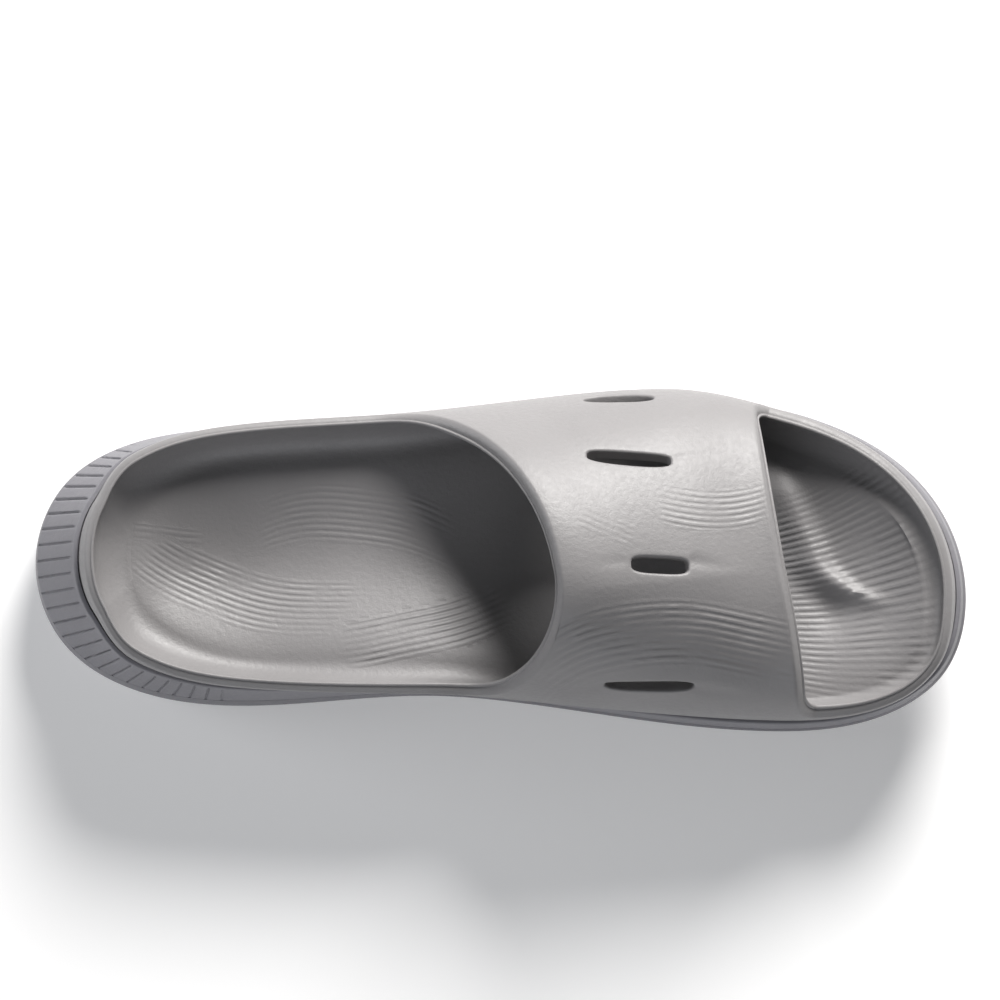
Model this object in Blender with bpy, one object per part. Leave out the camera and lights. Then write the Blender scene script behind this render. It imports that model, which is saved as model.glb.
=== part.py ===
# Left sport slide sandal in moulded foam: upper with footbed, ribbed midsole, cupped outsole.
# Metres, +X to the toe, +Y to the little toe, +Z up. The sole stands on z = 0.
import math

import bmesh
import bpy
import numpy as np
from mathutils import Matrix, Vector

# Driving sizes of the shoe
LENGTH = 0.300
SOLE_WIDTH = 0.110
CUP_HEIGHT = 0.051  # rim of the heel cup over the floor
BAND_HEIGHT = 0.088  # crest of the band at the collar over the floor
LIP_HEIGHT = 0.042  # top edge of the midsole behind the heel
STRIP_HEIGHT = 0.022  # top edge of the outsole behind the heel
FOOTBED_HEIGHT = 0.036  # edge of the footbed in the heel cup
SEAT_HEIGHT = 0.024  # underside of the upper at the heel
TOE_SPRING = 0.020
HEEL_BEVEL = 0.009
BEVEL_END = 0.095  # of LENGTH, where the bevel of the heel meets the flat tread
SPRING_START = 0.63  # of LENGTH, where the tread leaves the floor
BAND_WALL = 0.0045
FIT_GAP = 0.0003

# Sole layers
OUTSOLE_FLOOR = 0.006
OUTSOLE_LIP = 0.003
MIDSOLE_LIP = 0.0016
SEAT_DRAFT = 0.0015
BOTTOM_ROUND = 0.0045
ROUND_BULGE = 0.3  # share of the bottom's rounding where its middle row stands

# Ribs of the heel and grooves of the tread
RIB_PITCH = 0.0053
RIB_GROOVE_WIDTH = 0.0016
RIB_GROOVE_DEPTH = 0.0010
RIB_REACH = 0.78  # of the flared face's height
RIB_SPAN = (0.11, 0.21)  # lateral and medial ends, as shares of LENGTH
TREAD_PITCH = 0.0185
TREAD_WIDTH = 0.0034
TREAD_DEPTH = 0.0028
TREAD_SLANT = math.radians(14)
TREAD_SPAN = (0.13, 0.95)  # first and last groove, as shares of LENGTH

# Footbed relief
HEEL_DISH = 0.0065
TOE_RIDGE_HEIGHT = 0.0035
TOE_RIDGE_WIDTH = 0.007

# Where the band springs from the walls, as shares of LENGTH
COLLAR_LATERAL = 0.390
COLLAR_MEDIAL = 0.480
FRONT_LATERAL = 0.770
FRONT_MEDIAL = 0.818
CREST_COLLAR = 0.567
CREST_FRONT = 0.795
CREST_SIDE = -0.045  # of SOLE_WIDTH, to the big toe
# How each edge sweeps forward from its lateral (1) and medial (-1) base, and how softly the
# collar rises there
COLLAR_SWEEP = {1: 0.93, -1: 0.8}
FRONT_SWEEP = {1: 1.2, -1: 1.4}
COLLAR_LEAN = math.radians(13)  # of the collar's foremost point, past the crest to the big toe
SOFT_RISE = 0.15
SOFT_RISE_END = 0.4  # share of the way to the front where the rise is a plain arch
# How far both edges of the band flow on along the rim, as shares of the way from collar to
# front, and the sine of the angle over the base where that flow ends
FLOW_COLLAR = 0.08
FLOW_FRONT = 0.03
FLOW_HEIGHT = 0.3
COLLAR_SOFTNESS = 0.5  # of the turn into the rim: smaller is tighter
FRONT_SOFTNESS = 0.8
ARCH_CROWDING = 1.4  # above 1 the rows of the arch stand closer near the bases
FULL_WALL = 0.45  # sine of the angle over the base from which the band has its own wall

# Mesh fineness: segments over the heel, behind, under and before the band, and over its arch
HEEL_SEGMENTS = 8
REAR_SEGMENTS = 11
BAND_SEGMENTS = 15
TOE_SEGMENTS = 5
ARCH_SEGMENTS = 20
WALL_STEPS = 3
RIM_STEPS = 3
SLOT_END_STEPS = 6
WALL_FLARE = 1.3  # above 1 the cup's outer wall stays upright longer below its rim

# Outline of the sole edge from heel back round the medial side to the toe and back.
# x of LENGTH; y and the insets of SOLE_WIDTH; edge and line heights of STRIP_HEIGHT; lip height
# of LIP_HEIGHT; rim height of CUP_HEIGHT; floor height of FOOTBED_HEIGHT; wall of BAND_WALL.
OUTLINE_COLUMNS = (
    "x", "y", "edge_z", "line_in", "line_z", "lip_in", "lip_z",
    "rim_in", "rim_z", "floor_in", "floor_z", "wall",
)
OUTLINE = (
    (0.000, 0.005, 0.64, 0.008, 1.00, 0.118, 1.00, 0.168, 1.000, 0.285, 1.00, 0.67),
    (0.035, -0.241, 0.64, 0.008, 1.00, 0.102, 1.00, 0.145, 1.000, 0.268, 1.00, 0.67),
    (0.099, -0.355, 0.64, 0.008, 1.00, 0.052, 0.99, 0.084, 0.990, 0.205, 1.00, 0.67),
    (0.233, -0.409, 0.61, 0.008, 0.97, 0.028, 0.90, 0.044, 0.971, 0.125, 1.03, 0.67),
    (0.423, -0.379, 0.54, 0.005, 0.77, 0.009, 0.71, -0.002, 0.985, 0.091, 1.19, 0.80),
    (0.550, -0.409, 0.43, 0.005, 0.57, 0.009, 0.61, 0.012, 0.790, 0.080, 1.03, 1.00),
    (0.780, -0.482, 0.32, 0.005, 0.41, 0.011, 0.52, 0.041, 0.745, 0.088, 0.75, 1.00),
    (0.932, -0.418, 0.27, 0.005, 0.38, 0.012, 0.43, 0.030, 0.588, 0.085, 0.64, 0.75),
    (0.975, -0.327, 0.27, 0.007, 0.37, 0.014, 0.42, 0.040, 0.543, 0.104, 0.61, 0.67),
    (1.000, -0.118, 0.27, 0.009, 0.36, 0.018, 0.41, 0.060, 0.529, 0.127, 0.58, 0.67),
    (0.963, 0.202, 0.28, 0.007, 0.39, 0.018, 0.43, 0.056, 0.588, 0.137, 0.66, 0.67),
    (0.910, 0.339, 0.27, 0.005, 0.39, 0.015, 0.47, 0.051, 0.659, 0.137, 0.68, 0.75),
    (0.813, 0.455, 0.28, 0.005, 0.39, 0.011, 0.51, 0.045, 0.759, 0.128, 0.72, 0.90),
    (0.683, 0.495, 0.32, 0.005, 0.41, 0.009, 0.57, 0.013, 0.765, 0.073, 0.83, 1.00),
    (0.517, 0.450, 0.41, 0.005, 0.50, 0.009, 0.62, 0.003, 0.804, 0.082, 0.89, 1.00),
    (0.373, 0.418, 0.52, 0.005, 0.73, 0.011, 0.76, 0.013, 0.975, 0.109, 1.00, 0.67),
    (0.197, 0.405, 0.59, 0.008, 0.95, 0.024, 0.93, 0.038, 0.980, 0.140, 1.00, 0.67),
    (0.099, 0.357, 0.64, 0.008, 1.00, 0.048, 0.99, 0.076, 0.990, 0.205, 1.00, 0.67),
    (0.035, 0.252, 0.64, 0.008, 1.00, 0.102, 1.00, 0.145, 1.000, 0.268, 1.00, 0.67),
)
HEEL_CORNERS = (18, 1)  # rows where the heel end of the footbed grid turns into its sides
TOE_CORNERS = (8, 10)

# Underside of the upper along the shoe: x of LENGTH, height of SEAT_HEIGHT
SEAT = (
    (0.0, 1.0), (0.2, 1.0), (0.333, 0.917), (0.45, 0.833),
    (0.65, 0.75), (0.8, 0.646), (0.92, 0.604), (1.0, 0.542),
)
# Dish of the footbed along the shoe: x of LENGTH, depth of HEEL_DISH
DISH = (
    (0.1, 0.0), (0.16, 0.75), (0.22, 1.0), (0.33, 0.95), (0.45, 0.95),
    (0.65, 0.85), (0.8, 0.8), (0.9, 0.55), (0.955, 0.0),
)
# Crest of the band from collar to front: share of the way, height of BAND_HEIGHT
CREST = ((0.0, 1.0), (0.36, 0.935), (0.7, 0.86), (1.0, 0.785))
# Ridge under the toes: x of LENGTH, y of SOLE_WIDTH
TOE_RIDGE = ((0.797, 0.27), (0.807, 0.205), (0.840, -0.01), (0.866, -0.075), (0.896, -0.111))
# Slots of the band: place on the plan as shares of LENGTH and SOLE_WIDTH, then length and
# width in metres
SLOTS = (
    (0.627, 0.465, 0.0225, 0.0056),
    (0.637, 0.272, 0.0272, 0.0050),
    (0.670, -0.045, 0.0190, 0.0054),
    (0.659, -0.385, 0.0285, 0.0052),
)
SLOT_INSIDE = 3 * BAND_WALL  # reach of a slot's cutter to each side of the band's outer face
SLOT_OUTSIDE = 2 * BAND_WALL
TREAD_CUTTER_LENGTH = 1.4 * SOLE_WIDTH

# Searches and slopes by small steps
SEARCH_ROUNDS = 60
SMALL = 1e-3


def column(name, size):
    """One column of OUTLINE in metres."""
    place = OUTLINE_COLUMNS.index(name)
    return np.array([row[place] for row in OUTLINE]) * size


def fair_slopes(knots, values, closed):
    """Slopes that keep a curve between its neighbouring values."""
    steps = np.diff(knots)
    secants = np.diff(values) / steps
    if closed:
        before = np.roll(secants, 1)
        after = secants
    else:
        before = np.concatenate(([0.0], secants))
        after = np.concatenate((secants, [0.0]))
    same = before * after > 0
    total = np.where(same, before + after, 1.0)
    return np.where(same, 2.0 * before * after / total, 0.0)


def round_slopes(knots, values):
    """Slopes of the smoothest closed curve through the values."""
    steps = np.diff(knots)
    secants = np.diff(values) / steps
    count = len(steps)
    matrix = np.zeros((count, count))
    right = np.zeros(count)
    for i in range(count):
        before = (i - 1) % count
        after = (i + 1) % count
        matrix[i, before] += 1.0 / steps[before]
        matrix[i, i] += 2.0 / steps[before] + 2.0 / steps[i]
        matrix[i, after] += 1.0 / steps[i]
        right[i] = 3.0 * (secants[before] / steps[before] + secants[i] / steps[i])
    return np.linalg.solve(matrix, right)


def hermite(knots, values, slopes, at):
    """Cubic curve through values with the given slopes."""
    i = np.clip(np.searchsorted(knots, at, side="right") - 1, 0, len(knots) - 2)
    step = knots[i + 1] - knots[i]
    f = (at - knots[i]) / step
    return (
        values[i] * (1 + 2 * f) * (1 - f) ** 2
        + slopes[i] * step * f * (1 - f) ** 2
        + values[i + 1] * f * f * (3 - 2 * f)
        + slopes[i + 1] * step * f * f * (f - 1)
    )


def table_curve(table, size_in, size_out):
    """A smooth function from a two-column table."""
    knots = np.array([row[0] for row in table]) * size_in
    values = np.array([row[1] for row in table]) * size_out
    slopes = fair_slopes(knots, values, False)
    return lambda at: hermite(knots, values, slopes, np.clip(at, knots[0], knots[-1]))


class Outline:
    """The sole edge and everything that is set in from it, round the shoe."""

    def __init__(self):
        x = column("x", LENGTH)
        y = column("y", SOLE_WIDTH)
        gaps = np.hypot(np.diff(np.append(x, x[0])), np.diff(np.append(y, y[0])))
        self.knots = np.concatenate(([0.0], np.cumsum(gaps)))
        self.around = self.knots[-1]
        sizes = {
            "x": LENGTH, "y": SOLE_WIDTH, "edge_z": STRIP_HEIGHT, "line_in": SOLE_WIDTH,
            "line_z": STRIP_HEIGHT, "lip_in": SOLE_WIDTH, "lip_z": LIP_HEIGHT,
            "rim_in": SOLE_WIDTH, "rim_z": CUP_HEIGHT, "floor_in": SOLE_WIDTH,
            "floor_z": FOOTBED_HEIGHT, "wall": BAND_WALL,
        }
        self.values = {}
        self.slopes = {}
        for name, size in sizes.items():
            values = column(name, size)
            values = np.append(values, values[0])
            if name in ("x", "y"):
                slopes = round_slopes(self.knots, values)
            else:
                slopes = fair_slopes(self.knots, values, True)
            self.values[name] = values
            self.slopes[name] = np.append(slopes, slopes[0])

    def read(self, name, at):
        return hermite(self.knots, self.values[name], self.slopes[name], np.mod(at, self.around))

    def inward(self, at):
        """Unit vector from the edge into the shoe."""
        small = self.around * 1e-5
        dx = self.read("x", at + small) - self.read("x", at - small)
        dy = self.read("y", at + small) - self.read("y", at - small)
        size = np.hypot(dx, dy)
        return np.stack((-dy / size, dx / size), axis=-1)

    def inset(self, at, distance, height):
        """Points at a distance in from the edge, at a height."""
        inward = self.inward(at)
        x = self.read("x", at) + inward[..., 0] * distance
        y = self.read("y", at) + inward[..., 1] * distance
        return np.stack((x, y, height + 0.0 * x), axis=-1)

    def place(self, x, row_from, row_to):
        """Where the edge reaches x between two rows."""
        low = self.knots[row_from]
        high = self.knots[row_to]
        rising = self.read("x", high) > self.read("x", low)
        for _ in range(SEARCH_ROUNDS):
            middle = (low + high) / 2
            if (self.read("x", middle) < x) == rising:
                low = middle
            else:
                high = middle
        return (low + high) / 2


def spring(x):
    """Height of the ground contact line over the floor, at the toe."""
    start = SPRING_START * LENGTH
    return TOE_SPRING * (np.clip(x - start, 0.0, None) / (LENGTH - start)) ** 2


def ground(x):
    """Underside of the sole along the shoe: bevelled heel, flat middle, toe spring."""
    bevel = BEVEL_END * LENGTH
    return spring(x) + HEEL_BEVEL * (np.clip(bevel - x, 0.0, None) / bevel) ** 2


def flowing(s, up):
    """Way of a line of the band where it stands at the sine of an angle over its base."""
    share = np.clip(up / FLOW_HEIGHT, 0.0, 1.0)
    front = FLOW_FRONT * (1 - share ** FRONT_SOFTNESS) ** 2
    collar = FLOW_COLLAR * (1 - share ** COLLAR_SOFTNESS) ** 2
    return s + front * s ** 2 - collar * (1 - s) ** 2


def band_places(outline, side):
    """Places under the band, from where its collar flows out of the rim to its front."""
    start, end = band_ends(outline)[side]
    return start + (end - start) * flowing(np.linspace(0.0, 1.0, BAND_SEGMENTS + 1), 0.0)


def stations(outline):
    """Places round the edge, the same count on both sides, from the lateral heel corner."""
    heel_lateral = outline.knots[HEEL_CORNERS[0]]
    heel_medial = outline.knots[HEEL_CORNERS[1]]
    toe_medial = outline.knots[TOE_CORNERS[0]]
    toe_lateral = outline.knots[TOE_CORNERS[1]]
    lateral = band_places(outline, 1)
    medial = band_places(outline, -1)
    return np.concatenate((
        np.linspace(heel_lateral - outline.around, heel_medial, HEEL_SEGMENTS, endpoint=False),
        np.linspace(heel_medial, medial[0], REAR_SEGMENTS, endpoint=False),
        medial[:-1],
        np.linspace(medial[-1], toe_medial, TOE_SEGMENTS, endpoint=False),
        np.linspace(toe_medial, toe_lateral, HEEL_SEGMENTS, endpoint=False),
        np.linspace(toe_lateral, lateral[-1], TOE_SEGMENTS, endpoint=False),
        lateral[:0:-1],
        np.linspace(lateral[0], heel_lateral, REAR_SEGMENTS, endpoint=False),
    ))


class Skin:
    """A mesh under construction: rows of points and the faces between them."""

    def __init__(self):
        self.points = []
        self.faces = []

    def row(self, points):
        first = len(self.points)
        self.points.extend(map(tuple, points))
        return list(range(first, len(self.points)))

    def band(self, a, b, closed=True):
        count = len(a)
        for i in range(count if closed else count - 1):
            j = (i + 1) % count
            self.faces.append((a[i], a[j], b[j], b[i]))

    def cap(self, ring, height):
        """Fill a ring of stations with a grid whose heights come from height(x, y, v, z)."""
        across = HEEL_SEGMENTS
        along = len(ring) // 2 - across
        points = np.array([self.points[i] for i in ring])
        heel = points[: across + 1]
        medial = points[across : across + along + 1]
        toe = points[across + along : 2 * across + along + 1][::-1]
        lateral = points[[(len(ring) - i) % len(ring) for i in range(along + 1)]]
        grid = [[0] * (across + 1) for _ in range(along + 1)]
        for i in range(along + 1):
            u = i / along
            for j in range(across + 1):
                v = j / across
                if i == 0:
                    grid[i][j] = ring[j]
                elif i == along:
                    grid[i][j] = ring[2 * across + along - j]
                elif j == 0:
                    grid[i][j] = ring[len(ring) - i]
                elif j == across:
                    grid[i][j] = ring[across + i]
                else:
                    blend = (1 - u) * heel[j] + u * toe[j] + (1 - v) * lateral[i] + v * medial[i]
                    blend = blend - (1 - u) * ((1 - v) * heel[0] + v * heel[-1])
                    blend = blend - u * ((1 - v) * toe[0] + v * toe[-1])
                    x, y, z = blend
                    grid[i][j] = len(self.points)
                    self.points.append((x, y, height(x, y, 2 * v - 1, z)))
        for i in range(along):
            for j in range(across):
                self.faces.append((grid[i][j], grid[i + 1][j], grid[i + 1][j + 1], grid[i][j + 1]))


def band_ends(outline):
    """Where the band starts and ends round the edge, on the lateral (1) and medial (-1) side."""
    return {
        1: (outline.place(COLLAR_LATERAL * LENGTH, 14, 15), outline.place(FRONT_LATERAL * LENGTH, 12, 13)),
        -1: (outline.place(COLLAR_MEDIAL * LENGTH, 3, 6), outline.place(FRONT_MEDIAL * LENGTH, 6, 7)),
    }


class Band:
    """The arch over the forefoot: s runs from collar (0) to front (1), angle over the foot."""

    def __init__(self, outline):
        self.outline = outline
        self.crest = table_curve(CREST, 1.0, BAND_HEIGHT)
        self.ends = band_ends(outline)

    def place(self, s, side):
        start, end = self.ends[side]
        return start + (end - start) * s

    def wall(self, s, angle, side):
        """Thickness, from the rim's at the base to the band's own."""
        rim = self.outline.read("wall", self.place(s, side))
        share = min(1.0, math.sin(angle) / FULL_WALL)
        return float(rim + (BAND_WALL - rim) * share * share * (3 - 2 * share))

    def over(self, x, y):
        """Way, angle and side of the surface point over a place on the plan."""
        crest_y = CREST_SIDE * SOLE_WIDTH
        side = 1 if y > crest_y else -1
        s = 0.5
        for _ in range(SEARCH_ROUNDS):
            angle = math.acos(min(1.0, (y - crest_y) / (self.base(s, side)[1] - crest_y)))
            gap = x - self.reach(s, angle if side > 0 else math.pi - angle)
            s += float(gap) / ((FRONT_MEDIAL - COLLAR_LATERAL) * LENGTH)
        return s, angle, side

    def base(self, s, side):
        """Outer point where the arch leaves the wall."""
        at = self.place(s, side)
        read = self.outline.read
        x = read("x", at)
        height = read("rim_z", at) + spring(x) - read("wall", at) / 2
        return self.outline.inset(at, read("rim_in", at) - read("wall", at) / 2, height)

    def point(self, s, angle, side):
        """Outer surface; angle runs from 0 at the base of a side to a right angle at the crest."""
        foot = self.base(s, side)
        crest_y = CREST_SIDE * SOLE_WIDTH
        rise = math.sin(angle) ** (1.0 + SOFT_RISE * max(0.0, 1 - s / SOFT_RISE_END))
        return Vector((
            self.reach(s, angle if side > 0 else math.pi - angle),
            crest_y + (foot[1] - crest_y) * math.cos(angle),
            foot[2] + (self.crest(s) - foot[2]) * rise,
        ))

    def reach(self, s, turn):
        """How far forward the surface lies, at a turn over the foot from the lateral base."""
        foremost = math.pi / 2 + COLLAR_LEAN * max(0.0, 1 - s)
        if turn < foremost:
            end, lean = 1, turn / foremost * math.pi / 2
        else:
            end, lean = -1, (math.pi - turn) / (math.pi - foremost) * math.pi / 2
        start = self.base(s, end)[0]
        crest = (CREST_COLLAR + (CREST_FRONT - CREST_COLLAR) * s) * LENGTH
        collar = math.sin(lean) ** COLLAR_SWEEP[end]
        front = (1 - math.cos(lean)) ** FRONT_SWEEP[end]
        return start + (crest - start) * ((1 - s) * collar + s * front)

    def frame(self, s, angle, side):
        """Outer point and its outward normal."""
        flat = min(angle + SMALL, math.pi / 2)
        along = self.point(s + SMALL, angle, side) - self.point(s - SMALL, angle, side)
        over = self.point(s, flat, side) - self.point(s, flat - 2 * SMALL, side)
        return self.point(s, angle, side), over.cross(along).normalized() * side

    def edge(self, s, angle, side, normal):
        """Direction out of the collar (s = 0) or the front (s = 1), square to its line."""
        angles = (angle - SMALL, angle + SMALL)
        ends = [self.point(flowing(s, math.sin(a)), a, side) for a in angles]
        line = (ends[1] - ends[0]) * side
        return normal.cross(line).normalized() * (1 if s else -1)


def arch_angles():
    """Angle and side of each row of the arch between the two bases."""
    half = ARCH_SEGMENTS // 2
    angles = [math.pi / 2 * (m / half) ** ARCH_CROWDING for m in range(1, half + 1)]
    return [(angle, 1) for angle in angles] + [(angle, -1) for angle in angles[-2::-1]]


def half_round(inner, outer, edge, steps):
    """Points of a half circle from inner to outer that bulges towards edge."""
    middle = (inner + outer) / 2
    half = (outer - inner) / 2
    turns = [math.pi * j / (steps + 1) for j in range(1, steps + 1)]
    return [middle - half * math.cos(t) + edge * half.length * math.sin(t) for t in turns]


def add_arch(skin, band, inner_base, outer_base, rim_rows):
    """The band's outer and inner skins and the rounded edges of its two openings."""
    count = len(inner_base)
    ny = HEEL_SEGMENTS
    columns = []
    for k in range(BAND_SEGMENTS + 1):
        lateral = count - REAR_SEGMENTS - k
        medial = ny + REAR_SEGMENTS + k
        s = k / BAND_SEGMENTS
        outer = [outer_base[lateral]]
        inner = [inner_base[lateral]]
        rims = [[row[lateral]] for row in rim_rows]
        for angle, side in arch_angles():
            way = flowing(s, math.sin(angle))
            place, normal = band.frame(way, angle, side)
            inside = place - normal * band.wall(way, angle, side)
            outer += skin.row([place])
            inner += skin.row([inside])
            if k in (0, BAND_SEGMENTS):
                edge = band.edge(s, angle, side, normal)
                for line, point in zip(rims, half_round(inside, place, edge, RIM_STEPS)):
                    line += skin.row([point])
        outer.append(outer_base[medial])
        inner.append(inner_base[medial])
        for line, row in zip(rims, rim_rows):
            line.append(row[medial])
        if k in (0, BAND_SEGMENTS):
            strips = [inner] + rims + [outer]
            for a, b in zip(strips, strips[1:]):
                skin.band(a, b, closed=False)
        columns.append((inner, outer))
    for (inner, outer), (next_inner, next_outer) in zip(columns, columns[1:]):
        skin.band(inner, next_inner, closed=False)
        skin.band(outer, next_outer, closed=False)


def toe_ridge(x, y):
    """Raised bar under the toes."""
    xs = [row[0] * LENGTH for row in TOE_RIDGE]
    ys = [row[1] * SOLE_WIDTH for row in TOE_RIDGE]
    if not ys[-1] - TOE_RIDGE_WIDTH < y < ys[0] + TOE_RIDGE_WIDTH:
        return 0.0
    middle = np.interp(y, ys[::-1], xs[::-1])
    return TOE_RIDGE_HEIGHT * math.exp(-(((x - middle) / TOE_RIDGE_WIDTH) ** 2))


def make_upper(outline, places):
    """Cup wall, footbed and band as one moulding."""
    read = outline.read
    edge_x = read("x", places)
    lift = spring(edge_x)
    wall = read("wall", places)
    rim_in = read("rim_in", places)
    rim_z = read("rim_z", places) + lift - wall / 2
    floor_in = read("floor_in", places)
    floor_z = read("floor_z", places) + lift
    skin = Skin()
    floor = skin.row(outline.inset(places, floor_in, floor_z))
    last = floor
    inner_in = rim_in + wall / 2
    for j in range(1, WALL_STEPS):
        turn = math.pi / 2 * j / WALL_STEPS
        reach = inner_in + (floor_in - inner_in) * (1 - math.sin(turn))
        height = floor_z + (rim_z - floor_z) * (1 - math.cos(turn))
        row = skin.row(outline.inset(places, reach, height))
        skin.band(last, row)
        last = row
    inner = skin.row(outline.inset(places, inner_in, rim_z))
    skin.band(last, inner)
    rims = []
    for j in range(1, RIM_STEPS + 1):
        turn = math.pi * j / (RIM_STEPS + 1)
        reach = rim_in + wall / 2 * math.cos(turn)
        rims.append(skin.row(outline.inset(places, reach, rim_z + wall / 2 * math.sin(turn))))
    outer_in = rim_in - wall / 2
    outer = skin.row(outline.inset(places, outer_in, rim_z))
    drop_open_rims(skin, inner, rims, outer)
    add_arch(skin, Band(outline), inner, outer, rims)
    last = outer
    foot_in = read("lip_in", places) + MIDSOLE_LIP + FIT_GAP
    foot_z = read("lip_z", places) + lift
    for j in range(1, WALL_STEPS + 1):
        share = j / WALL_STEPS
        reach = outer_in + (foot_in - outer_in) * share ** WALL_FLARE
        row = skin.row(outline.inset(places, reach, rim_z + (foot_z - rim_z) * share))
        skin.band(last, row)
        last = row
    seat_curve = table_curve(SEAT, LENGTH, SEAT_HEIGHT)
    ring = outline.inset(places, foot_in + SEAT_DRAFT, 0.0)
    ring[:, 2] = seat_curve(ring[:, 0]) + spring(ring[:, 0])
    seat = skin.row(ring)
    skin.band(last, seat)
    skin.cap(seat, lambda x, y, v, z: float(seat_curve(x) + spring(x)))
    dish = table_curve(DISH, LENGTH, HEEL_DISH)

    def footbed(x, y, v, z):
        return float(z - dish(x) * (1 - v ** 2) ** 2 + toe_ridge(x, y) * (1 - v ** 4))

    skin.cap(floor, footbed)
    return skin


def drop_open_rims(skin, inner, rims, outer):
    """Rounded rim round the heel and round the toe, left out where the band stands."""
    count = len(inner)
    ny = HEEL_SEGMENTS
    medial = range(ny + REAR_SEGMENTS, ny + REAR_SEGMENTS + BAND_SEGMENTS)
    lateral = range(count - REAR_SEGMENTS - BAND_SEGMENTS, count - REAR_SEGMENTS)
    strips = [inner] + rims + [outer]
    for i in range(count):
        if i in medial or i in lateral:
            continue
        j = (i + 1) % count
        for a, b in zip(strips, strips[1:]):
            skin.faces.append((a[i], a[j], b[j], b[i]))


def floor_height(x):
    """Top of the outsole's floor."""
    return ground(x) + OUTSOLE_FLOOR


def make_midsole(outline, places):
    """Tray between outsole and upper; its outer face flares at the heel."""
    read = outline.read
    lift = spring(read("x", places))
    line_in = read("line_in", places)
    line_z = read("line_z", places) + lift + FIT_GAP
    lip_in = read("lip_in", places)
    lip_z = read("lip_z", places) + lift
    seat_curve = table_curve(SEAT, LENGTH, SEAT_HEIGHT)
    skin = Skin()
    step_in = line_in + OUTSOLE_LIP + FIT_GAP
    bottom_ring = outline.inset(places, step_in, 0.0)
    bottom_ring[:, 2] = floor_height(bottom_ring[:, 0]) + FIT_GAP
    seat_ring = outline.inset(places, lip_in + MIDSOLE_LIP + SEAT_DRAFT, 0.0)
    seat_ring[:, 2] = seat_curve(seat_ring[:, 0]) + spring(seat_ring[:, 0]) - FIT_GAP
    rows = [
        skin.row(bottom_ring),
        skin.row(outline.inset(places, step_in, line_z)),
        skin.row(outline.inset(places, line_in, line_z)),
        skin.row(outline.inset(places, lip_in, lip_z)),
        skin.row(outline.inset(places, lip_in + MIDSOLE_LIP, lip_z)),
        skin.row(seat_ring),
    ]
    for a, b in zip(rows, rows[1:]):
        skin.band(a, b)
    skin.cap(rows[0], lambda x, y, v, z: float(floor_height(x) + FIT_GAP))
    skin.cap(rows[-1], lambda x, y, v, z: float(seat_curve(x) + spring(x) - FIT_GAP))
    return skin


def make_outsole(outline, places):
    """Cupped lower layer with a rounded bottom edge, a ledge and a lip."""
    read = outline.read
    lift = spring(read("x", places))
    line_in = read("line_in", places)
    line_z = read("line_z", places) + lift
    edge_z = read("edge_z", places) + lift
    skin = Skin()
    bottom = outline.inset(places, BOTTOM_ROUND, 0.0)
    bottom[:, 2] = ground(bottom[:, 0])
    low = outline.inset(places, BOTTOM_ROUND * ROUND_BULGE, 0.0)
    low_ground = ground(low[:, 0])
    low[:, 2] = low_ground + (edge_z - low_ground) * ROUND_BULGE
    floor_ring = outline.inset(places, line_in + OUTSOLE_LIP, 0.0)
    floor_ring[:, 2] = floor_height(floor_ring[:, 0])
    rows = [
        skin.row(bottom),
        skin.row(low),
        skin.row(outline.inset(places, 0.0, edge_z)),
        skin.row(outline.inset(places, line_in, line_z)),
        skin.row(outline.inset(places, line_in + OUTSOLE_LIP, line_z)),
        skin.row(floor_ring),
    ]
    for a, b in zip(rows, rows[1:]):
        skin.band(a, b)
    skin.cap(rows[0], lambda x, y, v, z: float(ground(x)))
    skin.cap(rows[-1], lambda x, y, v, z: float(floor_height(x)))
    return skin


def rib_cutters(outline):
    """Thin boxes along the flared heel face, one for each groove between two ribs."""
    start = outline.place(RIB_SPAN[0] * LENGTH, 16, 18) - outline.around
    end = outline.place(RIB_SPAN[1] * LENGTH, 1, 3)
    count = int((end - start) / RIB_PITCH)
    cutters = bmesh.new()
    for i in range(count + 1):
        at = start + (end - start) * i / count
        low = Vector(outline.inset(at, outline.read("line_in", at), outline.read("line_z", at)))
        high = Vector(outline.inset(at, outline.read("lip_in", at), outline.read("lip_z", at)))
        inward = outline.inward(at)
        tangent = Vector((-inward[1], inward[0], 0.0))
        rise = high - low
        normal = tangent.cross(rise).normalized()
        length = rise.length * RIB_REACH
        scale = Matrix.Diagonal((RIB_GROOVE_WIDTH, length, 2 * RIB_GROOVE_DEPTH, 1.0))
        axes = Matrix((tangent, rise.normalized(), normal)).transposed().to_4x4()
        place = Matrix.Translation((low + high) / 2)
        bmesh.ops.create_cube(cutters, size=1.0, matrix=place @ axes @ scale)
    return cutters


def tread_cutters():
    """Slanted bars across the sole, alternating their slant, down its length."""
    cutters = bmesh.new()
    first = TREAD_SPAN[0] * LENGTH
    count = int((TREAD_SPAN[1] * LENGTH - first) / TREAD_PITCH)
    for i in range(count + 1):
        x = first + TREAD_PITCH * i
        slope = math.atan2(float(ground(x + SMALL) - ground(x - SMALL)), 2 * SMALL)
        scale = Matrix.Diagonal((TREAD_WIDTH, TREAD_CUTTER_LENGTH, 2 * TREAD_DEPTH, 1.0))
        turn = Matrix.Rotation(-slope, 4, "Y") @ Matrix.Rotation(TREAD_SLANT, 4, "Z")
        place = Matrix.Translation((x, 0.0, float(ground(x))))
        bmesh.ops.create_cube(cutters, size=1.0, matrix=place @ turn @ scale)
    return cutters


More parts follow.
